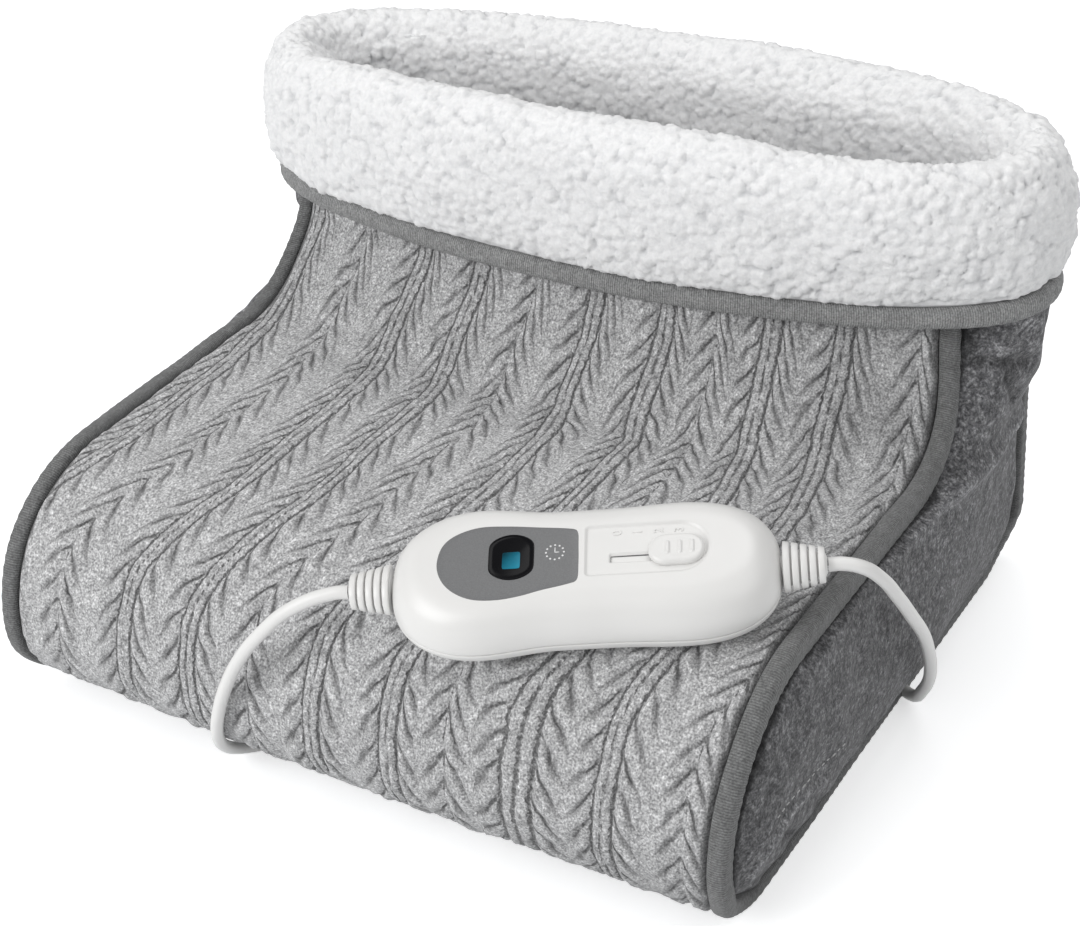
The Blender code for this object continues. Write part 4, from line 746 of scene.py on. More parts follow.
def studio():
    """Soft light from all round, brighter from the upper left, and a white floor that keeps the shadow."""
    scene = bpy.context.scene
    scene.view_settings.view_transform = "Standard"
    world = bpy.data.worlds.new("studio")
    scene.world = world
    world.use_nodes = True
    tree = world.node_tree
    background = tree.nodes["Background"]
    background.inputs["Color"].default_value = (1, 1, 1, 1)
    background.inputs["Strength"].default_value = WORLD_LIGHT
    shown = tree.nodes.new("ShaderNodeBackground")
    shown.inputs["Color"].default_value = (1, 1, 1, 1)
    shown.inputs["Strength"].default_value = 1.0
    rays = tree.nodes.new("ShaderNodeLightPath")
    seen = tree.nodes.new("ShaderNodeMath")
    seen.operation = "ADD"
    seen.use_clamp = True
    tree.links.new(rays.outputs["Is Camera Ray"], seen.inputs[0])
    tree.links.new(rays.outputs["Is Transmission Ray"], seen.inputs[1])
    choose = tree.nodes.new("ShaderNodeMixShader")
    tree.links.new(seen.outputs[0], choose.inputs[0])
    tree.links.new(background.outputs[0], choose.inputs[1])
    tree.links.new(shown.outputs[0], choose.inputs[2])
    tree.links.new(choose.outputs[0], tree.nodes["World Output"].inputs["Surface"])
    for lamp in LAMPS:
        add_light(*lamp)
    floor_mesh = bpy.data.meshes.new("floor")
    corners = [(x * FLOOR_REACH, y * FLOOR_REACH, 0) for x, y in ((-1, -1), (1, -1), (1, 1), (-1, 1))]
    floor_mesh.from_pydata(corners, [], [(0, 1, 2, 3)])
    floor = new_object("floor", floor_mesh)
    floor_mesh.materials.append(floor_finish())


def floor_finish():
    """A pale floor that the camera sees as white, with the object's shadow on it."""
    s = Shader("pale_floor", (0.86, 0.87, 0.88), 1.0)
    s.set(s.main, "Specular IOR Level", 0.0)
    glow = s.node("ShaderNodeEmission")
    s.set(glow, "Color", (1, 1, 1, 1))
    s.set(glow, "Strength", FLOOR_GLOW)
    both = s.node("ShaderNodeAddShader")
    s.link(s.main.outputs[0], both.inputs[0])
    s.link(glow.outputs[0], both.inputs[1])
    rays = s.node("ShaderNodeLightPath")
    seen = s.node("ShaderNodeMath", operation="ADD")
    seen.use_clamp = True
    s.link(rays.outputs["Is Camera Ray"], seen.inputs[0])
    s.link(rays.outputs["Is Glossy Ray"], seen.inputs[1])
    choose = s.node("ShaderNodeMixShader")
    s.link(seen.outputs[0], choose.inputs[0])
    s.link(s.main.outputs[0], choose.inputs[1])
    s.link(both.outputs[0], choose.inputs[2])
    s.link(choose.outputs[0], s.tree.nodes["Material Output"].inputs["Surface"])
    return s.material


# Cords

LEAD_POINTS = (
    (167.6, -57, 119.6),
    (171.8, -51.4, 113.2),
    (174.5, -42, 100.5),
    (175.6, -30, 85),
    (175.4, -15, 66.5),
    (173.9, -3.5, 50),
    (171.8, 5, 36.5),
    (168.7, 12.2, 24.5),
    (164.5, 18.4, 14.5),
    (159.8, 23.8, 6.2),
    (153.8, 28.6, 3),
    (147, 32.8, 2.8),
    (139, 35, 2.8),
    (133, 35, 2.8),
)
MAINS_POINTS = (
    (-11.5, -145, 98),
    (-22.5, -149.6, 86.5),
    (-32.5, -151.6, 72),
    (-40, -151.6, 57),
    (-45.5, -149.8, 44),
    (-50, -147, 32),
    (-54, -142, 21),
    (-57, -135.1, 12),
    (-57.5, -127.8, 5.6),
    (-54.5, -121, 2.9),
    (-48.5, -114, 2.8),
    (-40.5, -107.5, 2.8),
    (-34, -99.5, 2.8),
    (-30.7, -89.5, 2.8),
    (-30, -78, 2.8),
    (-30, -40, 2.8),
    (-30, 30, 2.8),
    (-30, 110, 2.8),
    (-30, 165, 2.8),
    (-30, 190, 3.7),
)
TAIL_POINTS = (
    (-106.4, 197, 9.2),
    (-106.5, 189.5, 7.6),
    (-108, 181.5, 4.6),
    (-113, 174, 2.9),
    (-121, 169.5, 2.8),
    (-130, 169.8, 3.2),
    (-137.5, 174.5, 4.6),
    (-141.6, 182, 6.3),
    (-142.5, 187.5, 6.85),
    (-142.5, 192, 6.85),
)
COIL_PITCH = 5.6 * MM
COIL_INNER = 20 * MM
COIL_TURNS_PER_LAYER = 3.25
COIL_STEPS = 24
COIL_MIDDLE = Vector((-68.2, 197, 3.7)) * MM
RELIEF_REACH = 83.6 * MM
RELIEF_Z = 11 * MM


def control_matrix():
    """The hand control's frame on the toe."""
    turn = Matrix.Rotation(CONTROL_YAW, 4, "Z") @ Matrix.Rotation(-CONTROL_PITCH, 4, "Y")
    return Matrix.Translation(CONTROL_PLACE) @ turn @ Matrix.Rotation(CONTROL_ROLL, 4, "X")


CONTROL = control_matrix()


def placed(points):
    """Route points in millimetres of the boot's own frame, in the model's frame."""
    return [Vector(p) * MM + Vector((0.0, FRAME_SHIFT, 0.0)) for p in points]


def straight_start(sign):
    """A cord's first two points, out of its strain relief."""
    tip = Vector((sign * RELIEF_REACH, 0.0, RELIEF_Z))
    ahead = tip + Vector((sign * CORD_DIAMETER, 0.0, 0.0))
    return [CONTROL @ tip, CONTROL @ ahead]


def coil_route():
    """In on the lower layer and out on the upper one."""
    total = 2 * COIL_TURNS_PER_LAYER
    steps = round(total * COIL_STEPS)
    points = []
    for i in range(steps + 1):
        turns = total * i / steps
        radius = COIL_INNER + COIL_PITCH * abs(COIL_TURNS_PER_LAYER - turns)
        climb = float(ease((turns - COIL_TURNS_PER_LAYER + 0.25) / 0.5))
        angle = 2 * math.pi * turns
        offset = Vector((radius * math.cos(angle), radius * math.sin(angle), COIL_PITCH * climb))
        points.append(COIL_MIDDLE + offset)
    return points


def cord_curve(name, points):
    """A round cord on a smooth curve through its points."""
    data = bpy.data.curves.new(name, "CURVE")
    data.dimensions = "3D"
    data.resolution_u = 6
    data.bevel_depth = CORD_DIAMETER / 2
    data.bevel_resolution = 4
    data.use_fill_caps = True
    spline = data.splines.new("BEZIER")
    spline.bezier_points.add(len(points) - 1)
    for target, point in zip(spline.bezier_points, points):
        target.co = point
        target.handle_left_type = "AUTO"
        target.handle_right_type = "AUTO"
    data.materials.append(CORD_SHEATH)
    cord = new_object(name, data)
    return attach(cord, "root")


def make_cords():
    """The heater lead, and the mains cord with its coil and tail."""
    lead_points = [*straight_start(1), *placed(LEAD_POINTS)]
    lead = cord_curve("lead_cord", lead_points)
    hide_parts("heater_lead")
    points = [*straight_start(-1), *placed(MAINS_POINTS), *coil_route(), *placed(TAIL_POINTS)]
    mains = cord_curve("mains_cord_run", points)
    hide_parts("mains_cord", "mains_coil", "plug_tail")


# The knitted strip

# Where the knit's raised lines run across the toe's top, in millimetres, and which are ribs
KNIT_LINES = np.array([-168, -137, -106, -73, -42, -15, 14, 47, 70, 93, 121, 150, 178])
KNIT_RIBS = np.array([1, 1, 0, 1, 1, 0, 1, 1, 0, 1, 1, 0, 1])
RIB_STRAND = 3.6
ARM_PITCH = 11.2


def knit_run(along_mm):
    """Distance along the knit's own pattern, which is drawn out over the instep."""
    mark = np.linspace(0, 600, 1201)
    slack = 0.27 * ease((mark - 80) / 25) * (1 - ease((mark - 185) / 25))
    return np.interp(along_mm, mark, np.cumsum(1 - slack) * 0.5)


def knit_relief(x, along_mm, seed):
    """The cable knit's height in millimetres, and its lanes, ribs and turns for the material."""
    toe_drift = (22 - 12 * ease((x - 55) / 45)) * ease((along_mm - 228) / 60)
    neck_drift = 5 * (1 - ease((along_mm - 62) / 120)) + 4.2 * np.exp(-(((along_mm - 98) / 30) ** 2))
    wander = 1.3 * soft_noise(x, along_mm, 27, seed) + 0.35 * soft_noise(x, along_mm, 7, seed + 9)
    lane = x + toe_drift + neck_drift + wander
    gaps = np.abs(lane[..., None] - KNIT_LINES)
    nearest = gaps.argmin(axis=-1)
    away = gaps.min(axis=-1)
    side = np.sign(lane - KNIT_LINES[nearest])
    rib = KNIT_RIBS[nearest]
    run = knit_run(along_mm) + 1.6 * soft_noise(x, along_mm, 33, seed + 1) + 3.1 * nearest + 1.7 * side * rib
    arm = np.maximum(away - rib * (RIB_STRAND + 0.3), 0.0)
    on_neck = 1 - ease((along_mm - 70) / 40)
    on_top = ease((along_mm - 85) / 35) * (1 - ease((along_mm - 215) / 45))
    left, right = 1.15 + 1.1 * on_top, 1.35 + 1.5 * on_neck + 0.25 * on_top
    steep = np.where(side < 0, left, right)
    slope = steep * arm + 2.4 * (1 - np.exp(-arm / 2.0)) + 0.035 * np.maximum(arm - 4, 0) ** 2
    turns = (run - slope) / ARM_PITCH + 0.15 * soft_noise(x, along_mm, 6.0, seed + 3)
    fold = np.abs(2 * (turns - np.floor(turns)) - 1)
    window = ease(arm / 2.2) * (1 - 0.75 * ease((arm - 6.0) / 6.0))
    vary = 0.8 + 0.4 * soft_noise(x, along_mm, 8, seed + 4)
    strand = (1 - fold**2.6) * window * 1.45 * vary
    step = 0.5 * ease(1 - arm / 2.0) * (1 - rib)
    round_rib = rib * np.clip(1 - ((away - RIB_STRAND / 2) / (RIB_STRAND / 2)) ** 2, 0, 1) * 0.7
    flank = rib * np.exp(-(((away - RIB_STRAND) / 0.9) ** 2)) * 0.7
    fluff = 0.25 * soft_noise(x, along_mm, 1.9, seed + 5) + 0.3 * soft_noise(x, along_mm, 9.0, seed + 6)
    height = strand + round_rib + fluff - step - flank
    return height, away, rib, turns


def knit_panel(name, node, first, last, mirror, seed):
    """A knitted part of the strip between two distances, in fine relief."""
    rows = on_step((last - first) / (1.06 * MM), KNIT_BACK_STEP)
    columns = on_step(272, KNIT_BACK_STEP)
    shares = np.linspace(-0.998, 0.998, columns)
    distances = np.linspace(first, last, rows)
    x, run = np.meshgrid(shares * HALF_MM, distances / MM)
    if mirror:
        run = along(BACK, 1) / MM - run + 60
    height, lane, rib, turns = knit_relief(x, run, seed)
    edge = np.clip((1 - np.abs(x) / HALF_MM) * HALF_MM / 3.2, 0, 1)
    ends = np.minimum(np.arange(rows)[:, None], (rows - 1 - np.arange(rows))[:, None]) / 4
    height = height * ease(edge) * ease(ends) - 1.7 * (1 - ease(edge)) + 0.2
    # Painted shade: a dark band along the knit's hem beside the binding, given to the material as its groove
    # value.
    hem = HALF_MM - np.abs(x) + 0.9 * soft_noise(run, x, 5.5, seed + 8)
    dark = 0.9 * (1 - ease((hem - 0.8) / 1.6))
    face = np.stack([strip_row(d, shares, h * MM) for d, h in zip(distances, height)])
    back = np.stack([strip_row(d, shares[::KNIT_BACK_STEP], -2.6 * MM) for d in distances[::KNIT_BACK_STEP]])
    uv = np.stack([x * MM, run * MM], axis=-1)
    y, z = face[..., 1] / MM, face[..., 2] / MM
    # Painted shade: the knit is darkened near the right edge of the neck and at the lower right of the toe.
    at_neck = 0.9 * ease((x - 84) / 52) * ease((z - 98) / 12) * ease((60 - y) / 30)
    at_toe = 0.6 * ease((x - 40) / 90) * (1 - ease((z - 18) / 34))
    dim = np.maximum(at_neck, at_toe)
    values = {"groove": dark, "lane": lane, "rib": rib.astype(float), "turns": turns, "dim": dim}
    piece = closed_sheet(name, face, back, KNIT_BACK_STEP, KNIT, uv, values)
    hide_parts(node)


def make_knit():
    """The knitted front and back of the boot."""
    knit_panel("knit_vamp", "vamp_panel", 20 * MM, WRAP_SEAM - 0.3 * MM, False, 11)
    knit_panel("knit_back", "back_panel", HEEL_SEAM + 0.3 * MM, along(NECK_BACK, 0.6), True, 41)


# The binding tapes


def run_of_seam(first, last, step):
    """Even distances along the seam."""
    return np.linspace(first, last, max(round((last - first) / step), 2) + 1)


def binding_proud(distance):
    """The tape is proud of the strip, but flat on the floor and under the cuff."""
    low, high = along(TOE_LOWER, 0.75), along(TOE_LOWER, 0.2)
    toe = ease((low - distance) / (low - high))
    heel = ease((distance - along(HEEL, 0.25)) / (along(HEEL, 0.8) - along(HEEL, 0.25)))
    neck = 1 - ease((seam_at(distance)[1] - 96 * MM) / (34 * MM))
    return 2 * MM * max(toe, 1.6 * heel) * neck


def rounded_section(half_u, half_v, power, count):
    """Points round a soft rectangle."""
    turn = 2 * math.pi * (np.arange(count) + 0.5) / count
    u = half_u * np.sign(np.cos(turn)) * np.abs(np.cos(turn)) ** (2 / power)
    v = half_v * np.sign(np.sin(turn)) * np.abs(np.sin(turn)) ** (2 / power)
    return u, v


def make_side_binding(side, sign):
    """Soft tape folded over the seam of one side."""
    half = (3.5 if sign < 0 else 3.9) * MM
    u, v = rounded_section(half, 4.3 * MM, 3.2, 20)
    rings, tucked = [], []
    for index, distance in enumerate(run_of_seam(along(NECK, 0), along(NECK_BACK, 1), 1.5 * MM)):
        y, z, out_y, out_z = seam_at(distance)
        proud = float(binding_proud(distance))
        pucker = 0.16 * MM * math.sin(index * 1.9 + 2 * math.sin(index * 0.23)) * (u > 0)
        swell = 0.5 * MM * float(soft_noise(distance / MM, sign * 3.0, 21, 5)) * ease(proud / (2 * MM))
        at_floor = float((1 - ease(z / (12 * MM))) * (1 - ease((y + 70 * MM) / (60 * MM))))
        upright = ease((z - 14 * MM) / (12 * MM)) * (1 - ease((z - 90 * MM) / (8 * MM)))
        at_back = float(ease((y - 105 * MM) / (20 * MM)) * upright)
        wider = 1 + (0.3 * at_floor + 0.1 * at_back) * MM / half
        reach = (half + u) * wider - 0.1 * MM + pucker
        # Painted shade: the tape is darkened low along the floor at the front and on its inner wall at the
        # back.
        tucked.append(np.maximum(0.4 * at_floor, 0.9 * at_back * (v < -1.5 * MM)) + 0 * u)
        rise = (proud - 6.7 * MM) / 2 + v * (proud + 6.7 * MM) / (8.7 * MM) + swell * (v > 0)
        x = sign * (float(spread(np.array(float(sign)), z)) + reach)
        z_all = z + out_z * rise
        rings.append(np.stack([x, y + out_y * rise + FRAME_SHIFT, z_all + lean(x, z_all)], axis=-1))
    rings = np.array(rings)
    rings[..., 2] = np.maximum(rings[..., 2], 0.0)
    piece = loft_piece(f"binding_{side}", rings, TAPE, values={"tucked": np.array(tucked)})
    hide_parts(f"side_binding_{side}")


# The sides


# The share of the back's straight run that belongs to the lower part of a side
BACK_SPLIT_SHARE = 0.46


def side_pairs():
    """Pairs of places on the seam's front and back that a row of a side joins."""
    split = ((TOE_LOWER, 4), (TOE_UPPER, 5), (PLATEAU, 3), (INSTEP, 5), (NECK, 2))
    front = [along(run, 1 - i / n) for run, n in split for i in range(n)] + [along(NECK, 0)]
    back = [along(HEEL, i / 4) for i in range(4)]
    back += [along(BACK, BACK_SPLIT_SHARE * i / 8) for i in range(8)]
    split_at = along(BACK, BACK_SPLIT_SHARE)
    back += [split_at + (along(NECK_BACK, 0) - split_at) * i / 5 for i in range(5)]
    back += [along(NECK_BACK, i / 2) for i in range(3)]
    return front, back


def side_swell(y, z):
    """How far a side's face stands out past its edge."""
    up = np.clip(z / TOE_TOP, 0, 1)
    low = 4 * up * (1 - up)
    heel = ease(y / BULGE_BACK_END)
    swell = SIDE_BULGE * (low * (1 - heel) + ease(z / BULGE_RISE) * heel)
    span = (HEEL_BACK - TOE_FRONT) / 2
    middle = (HEEL_BACK + TOE_FRONT) / 2
    swell = swell * np.maximum(1 - np.abs((y - middle) / span) ** 4, 0)
    oval = NECK_HALF_WIDTH * oval_share((y - neck_middle_y()) / NECK_HALF_DEPTH)
    neck = oval - SIDE_PROUD - half_width(SHELL_TOP)
    blend = ease((z - NECK_BULGE_START) / (SHELL_TOP - INSTEP_RADIUS - NECK_BULGE_START))
    return swell * (1 - blend) + neck * blend


def side_plan(inset, rows, columns):
    """Places in the side's own plane, in from the seam: Y and Z of each grid point."""
    front, back = side_pairs()
    marks = np.linspace(0, len(front) - 1, rows)
    starts = np.interp(marks, np.arange(len(front)), front)
    ends = np.interp(marks, np.arange(len(back)), back)
    t = np.linspace(0, 1, columns)[:, None]
    plan = []
    for front_place, back_place in zip(starts, ends):
        y0, z0, out_y0, out_z0 = seam_at(front_place)
        y1, z1, out_y1, out_z1 = seam_at(back_place)
        start = np.array([y0 - out_y0 * inset, z0 - out_z0 * inset])
        end = np.array([y1 - out_y1 * inset, z1 - out_z1 * inset])
        plan.append(start * (1 - t) + end * t)
    return np.array(plan)


def side_face(sign, plan, drop):
    """Points of a side's face over its plan, dropped in by a depth."""
    y, z = plan[..., 0], plan[..., 1]
    x = sign * (half_width(z) + SIDE_PROUD + side_swell(y, z) - drop)
    return np.stack([x, y + FRAME_SHIFT, z + lean(x, z)], axis=-1)


# Creases and dimples in a side: Y and Z of both ends, half width and depth, all in millimetres.
SIDE_DENTS = (
    (52, 152, 58, 132, 3.0, 2.0),
    (74, 126, 99, 118, 2.6, 1.5),
    (84, 117, 93, 104, 2.8, 1.4),
    (52, 124, 56, 114, 3.4, 1.9),
    (72, 152, 66, 138, 3.2, 1.1),
    (104, 142, 111, 124, 3.2, 1.0),
    (-76, 28, -72, 22, 2.8, 1.7),
    (-98, 21, -94, 26, 2.6, 1.7),
    (-104, 34, -99, 30, 2.4, 1.3),
    (-115, 17, -109, 21, 2.6, 1.4),
    (-58, 14, -52, 12, 2.4, 1.1),
)
STITCH_LINE = ((-61.7, 44.8), (-76, 46.4), (-87.9, 47.5), (-101, 48.2), (-113.5, 48.3))
TOE_FOLD = (
    (-76, 37),
    (-81.8, 40),
    (-91, 42.6),
    (-99.9, 43.2),
    (-107, 42.4),
    (-113.1, 40.4),
    (-121.3, 35.2),
    (-126, 29),
)


def from_line(y, z, line):
    """Distance of places in a side's plane from a line."""
    least = np.full(np.shape(y), 1e3)
    for (y0, z0), (y1, z1) in zip(line, line[1:]):
        dy, dz = y1 - y0, z1 - z0
        share = np.clip(((y - y0) * dy + (z - z0) * dz) / (dy * dy + dz * dz), 0, 1)
        least = np.minimum(least, np.hypot(y - y0 - share * dy, z - z0 - share * dz))
    return least


def side_wrinkles(y, z, near_edge, sign):
    """How far the fleece lifts in millimetres, how much painted shade its hollows get and how much painted
    light its folds get.
    """
    seed = 60 if sign > 0 else 70
    inside = ease(near_edge / 10)
    fold_line = 101 - 0.136 * (y + 15) + 2.0 * soft_noise(y, 0 * y, 31, seed + 5)
    reach = ease((y + 45) / 40) * ease((143 - y) / 18)
    ridge = 3.0 * np.exp(-(((z - fold_line) / 4.5) ** 2)) * reach
    uneven = 0.7 + 0.3 * soft_noise(y, z, 17, seed + 6)
    valley = np.exp(-(((z - fold_line - 10) / 5.0) ** 2)) * reach * uneven
    bulge = 7.0 * np.exp(-(((y - 120) / 28) ** 2)) * np.clip((z - 86) / 60, 0, 1) ** 1.3
    under_cuff = ease((z - 100) / 22) * inside
    dents, dark = 0.0, 0.0
    for y0, z0, y1, z1, wide, deep in SIDE_DENTS:
        dent = deep * np.exp(-((from_line(y, z, ((y0, z0), (y1, z1))) / wide) ** 2))
        dents, dark = dents + dent, dark + 0.6 * dent
    toe_fold = np.exp(-((from_line(y, z, TOE_FOLD) / 1.9) ** 2))
    upright = soft_noise(y + 0.25 * z, z / 3.6, 11, seed) * 1.2 * under_cuff
    broad = soft_noise(y, z, 37, seed + 1) * 1.2
    fine = soft_noise(y + 0.5 * z, z - 0.4 * y, 13, seed + 2) * 0.6 + soft_noise(y, z, 6.5, seed + 4) * 0.3
    pucker = soft_noise(y * 1.1, z * 0.8, 8.5, seed + 3) * 1.2 * (1 - ease(near_edge / 28))
    flat_heel = 1.6 * ease((y - 60) / 40) * (1 - ease((z - 78) / 20))
    folds = (ridge - 1.2 * valley + bulge - flat_heel + 1.6 * under_cuff + 1.3 * toe_fold) * inside
    lift = folds - 1.8 * dents + (upright + broad + fine) * ease(near_edge / 16)
    lift = lift + pucker * ease(near_edge / 4)
    # Painted shade in the valley below the fold and in the dents, less on the upright creases.
    painted_hollow_shade = np.clip(0.4 * valley * inside + dark - 0.25 * upright, 0, 0.85)
    # Painted light: the fold's crest, the toe fold, the side towards the heel and the part above the fold are
    # made paler, where light falls on them.
    crown = np.exp(-(((z - fold_line + 1.5) / 4.0) ** 2)) * reach
    paler = 0.22 * ease((y + 30) / 70) + 0.3 * ease((z - fold_line) / 10) * reach
    worn = np.clip(0.9 * crown * inside + 0.8 * toe_fold + paler, 0, 1)
    return lift, painted_hollow_shade, worn


def stitch_side(side, sign, plan, face):
    """Pale stitches in a row near the toe of a side."""
    line = even_steps(smooth_line(np.array(STITCH_LINE), 12), 1.9)[::2]
    ahead = np.gradient(line, axis=0)
    flat = plan.reshape(-1, 2) / MM
    spots = face.reshape(-1, 3)
    places, facings, headings = [], [], []
    for (y, z), (dy, dz) in zip(line, ahead):
        spot = spots[np.argmin(np.hypot(flat[:, 0] - y, flat[:, 1] - z))]
        places.append((spot[0] + sign * 0.1 * MM, y * MM + FRAME_SHIFT, z * MM + lean(spot[0], z * MM)))
        facings.append((sign, 0.0, 0.0))
        headings.append((0.0, dy, dz))
    around = 2 * math.pi * np.arange(6) / 6
    rings = [
        np.stack([np.full(6, x), r * np.cos(around), r * np.sin(around)], axis=-1) * MM
        for x, r in ((-1.1, 0.08), (-0.8, 0.26), (0.8, 0.26), (1.1, 0.08))
    ]
    piece = repeat_shape(
        f"side_stitches_{side}", small_shape("stitch", rings), places, facings, headings, THREAD, 0.12, 4
    )


def lowest(grid, step):
    """A coarser grid of the least values round each of its points."""
    rows, columns = ((size - 1) // step + 1 for size in grid.shape)
    least = np.zeros((rows, columns))
    for i in range(rows):
        for j in range(columns):
            top, left = max((i - 1) * step, 0), max((j - 1) * step, 0)
            least[i, j] = grid[top : (i + 1) * step + 1, left : (j + 1) * step + 1].min()
    return least


def make_side_wadding(side, sign, lift):
    """Wadding that follows the inside of a side's fleece, up to where the cuff hides it."""
    plan = side_plan(7.4 * MM, *lift.shape)
    kept = int(np.sum(plan[..., 1].max(axis=1) < 168 * MM))
    plan, lift = plan[:kept], lift[:kept]
    outer = 2.6 - lift
    uv = plan.copy()
    face = side_face(sign, plan, outer * MM)
    back = side_face(sign, plan, np.maximum(5.8, outer + 0.9) * MM)
    piece = closed_sheet(f"side_filling_{side}", face, back, 1, WADDING, uv)
    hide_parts(f"side_wadding_{side}")


def fleece_form(plan, sign):
    """How far the fleece lifts over its plan in millimetres, its edge distance, painted shade at its seams
    and in its hollows, and painted light on its folds.
    """
    y, z = plan[..., 0] / MM, plan[..., 1] / MM
    rows, columns = y.shape
    row = np.arange(rows)[:, None] / (rows - 1)
    column = np.arange(columns)[None, :] / (columns - 1)
    length = np.linalg.norm(plan[:, -1] - plan[:, 0], axis=-1)[:, None] / MM
    near_edge = np.minimum(np.minimum(column, 1 - column) * length, row * 160 + 0 * column)
    at_back = (1 - ease((1 - column) * length / 14)) * ease((z - 8) / 12) * (1 - ease((z - 92) / 10))
    lift, painted_hollow_shade, worn = side_wrinkles(y, z, near_edge, sign)
    drawn_in = 2.0 * (1 - ease(near_edge / 13)) ** 2 + 1.2 * at_back
    lift = lift + 0.6 - drawn_in
    lift = np.where(lift < -0.6, -0.6 - 0.9 * np.tanh((-0.6 - lift) / 0.9), lift)
    over_sole = 4.6 * np.exp(-(((z - 15) / 9.5) ** 2)) * (1 - ease((y + 10) / 70))
    under_hem = 4.0 * ease((z - 140) / 8)
    lift = lift - 1.8 * at_back - over_sole - under_hem
    # Painted shade along the seams, ragged and wider at the back, joined with the painted shade in the
    # hollows.
    ragged = 0.9 * soft_noise(y + 0.6 * z, z - 0.6 * y, 6.0, 66) - 2.2 * at_back
    seam = np.maximum(0.95 * (1 - ease((near_edge - 0.6 + ragged) / 2.6)), painted_hollow_shade)
    return lift, near_edge, seam, worn


def make_sides():
    """Soft dark fleece on both sides, drawn in at its seams."""
    for side, sign in (("left", -1), ("right", 1)):
        plan = side_plan(5.9 * MM, on_step(190, BACK_STEP), on_step(132, BACK_STEP))
        lift, near_edge, seam, worn = fleece_form(plan, sign)
        face = side_face(sign, plan, -lift * MM)
        coarse = (slice(None, None, BACK_STEP), slice(None, None, BACK_STEP))
        depth = 2.2 - lift[coarse] + 2.2 * (1 - ease(near_edge[coarse] / 9))
        back = side_face(sign, plan[coarse], depth * MM)
        values = {"seam": seam, "worn": worn}
        piece = closed_sheet(f"fleece_{side}", face, back, BACK_STEP, FLEECE, plan, values)
        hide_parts(f"side_panel_{side}")
        stitch_side(side, sign, plan, face)
        make_side_wadding(side, sign, lowest(lift, BACK_STEP))


# The curly pile


def cells_3d(points_mm, size, seed):
    """Distance to the nearest scattered point and that point's own random number."""
    rng = np.random.default_rng(seed)
    table = rng.uniform(0.0, 1.0, (16, 16, 16, 4))
    scaled = points_mm / size
    base = np.floor(scaled).astype(int)
    least = np.full(points_mm.shape[0], 9.0)
    second = np.full(points_mm.shape[0], 9.0)
    tag = np.zeros(points_mm.shape[0])
    for i in (-1, 0, 1):
        for j in (-1, 0, 1):
            for k in (-1, 0, 1):
                cell = base + (i, j, k)
                drawn = table[cell[:, 0] % 16, cell[:, 1] % 16, cell[:, 2] % 16]
                apart = np.linalg.norm(cell + drawn[:, :3] - scaled, axis=1)
                nearer = apart < least
                second = np.where(nearer, least, np.minimum(second, apart))
                tag = np.where(nearer, drawn[:, 3], tag)
                least = np.where(nearer, apart, least)
    return least * size, second * size, tag


def pebbles(points, seed, coarse=4.3, fine=2.1):
    """Height in millimetres of curly pile over points in metres, and how much painted shade lies between
    curls.
    """
    flat = points.reshape(-1, 3) / MM
    near, next_one, tag = cells_3d(flat, coarse, seed)
    small, _, small_tag = cells_3d(flat, fine, seed + 1)
    dome = np.sqrt(np.clip(1 - (near / (coarse * 0.78)) ** 2, 0, 1))
    crease = 1 - ease((next_one - near) / 0.9)
    curl = np.sqrt(np.clip(1 - (small / (fine * 0.8)) ** 2, 0, 1))
    height = 1.1 * dome * (0.5 + tag) + 0.7 * curl * (0.4 + small_tag) - 0.8 * crease * tag**2
    deep = 0.6 * np.clip((1.0 - 0.75 * dome - 0.25 * curl) * (0.35 + 0.9 * tag), 0, 1)
    return height.reshape(points.shape[:-1]), deep.reshape(points.shape[:-1])


def smooth_line(points, steps, closed=False):
    """A smooth curve through points."""
    points = np.asarray(points, dtype=float)
    count = len(points)
    out = []
    for i in range(count if closed else count - 1):
        if closed:
            p0, p1, p2, p3 = (points[(i + k) % count] for k in (-1, 0, 1, 2))
        else:
            p1, p2 = points[i], points[i + 1]
            p0 = points[i - 1] if i else 2 * p1 - p2
            p3 = points[i + 2] if i + 2 < count else 2 * p2 - p1
        for k in range(steps):
            t = k / steps
            linear = (p2 - p0) * t
            square = (2 * p0 - 5 * p1 + 4 * p2 - p3) * t**2
            cube = (3 * p1 - p0 - 3 * p2 + p3) * t**3
            out.append(p1 + (linear + square + cube) / 2)
    if not closed:
        out.append(points[-1])
    return np.array(out)


def even_steps(line, spacing):
    """Points on a line at even steps."""
    run = np.concatenate([[0.0], np.cumsum(np.linalg.norm(np.diff(line, axis=0), axis=1))])
    marks = np.linspace(0, run[-1], max(round(run[-1] / spacing), 1) + 1)
    return np.stack([np.interp(marks, run, line[:, axis]) for axis in range(line.shape[1])], axis=-1)


def neck_points(turns, outward, z):
    """Points round the neck at angles, outward from the cuff's inner face."""
    wide = NECK_HALF_WIDTH + CUFF_CLEAR_WIDTH + outward
    deep = NECK_HALF_DEPTH + CUFF_CLEAR_DEPTH + outward
    cos, sin = np.cos(turns), np.sin(turns)
    x = wide * np.sign(cos) * np.abs(cos) ** (2 / OVAL_POWER)
    y = neck_middle_y() + deep * np.sign(sin) * np.abs(sin) ** (2 / OVAL_POWER)
    return np.stack([x, y + FRAME_SHIFT, z + lean(x, z)], axis=-1)


def even_turns(count):
    """Angles at even steps round the neck's oval."""
    turns = np.linspace(0, 2 * math.pi, 4001)
    oval = neck_points(turns, 0.0, np.full(len(turns), 190 * MM))
    run = np.concatenate([[0.0], np.cumsum(np.linalg.norm(np.diff(oval, axis=0), axis=1))])
    return np.interp(np.linspace(0, run[-1], count + 1)[:-1], run, turns)


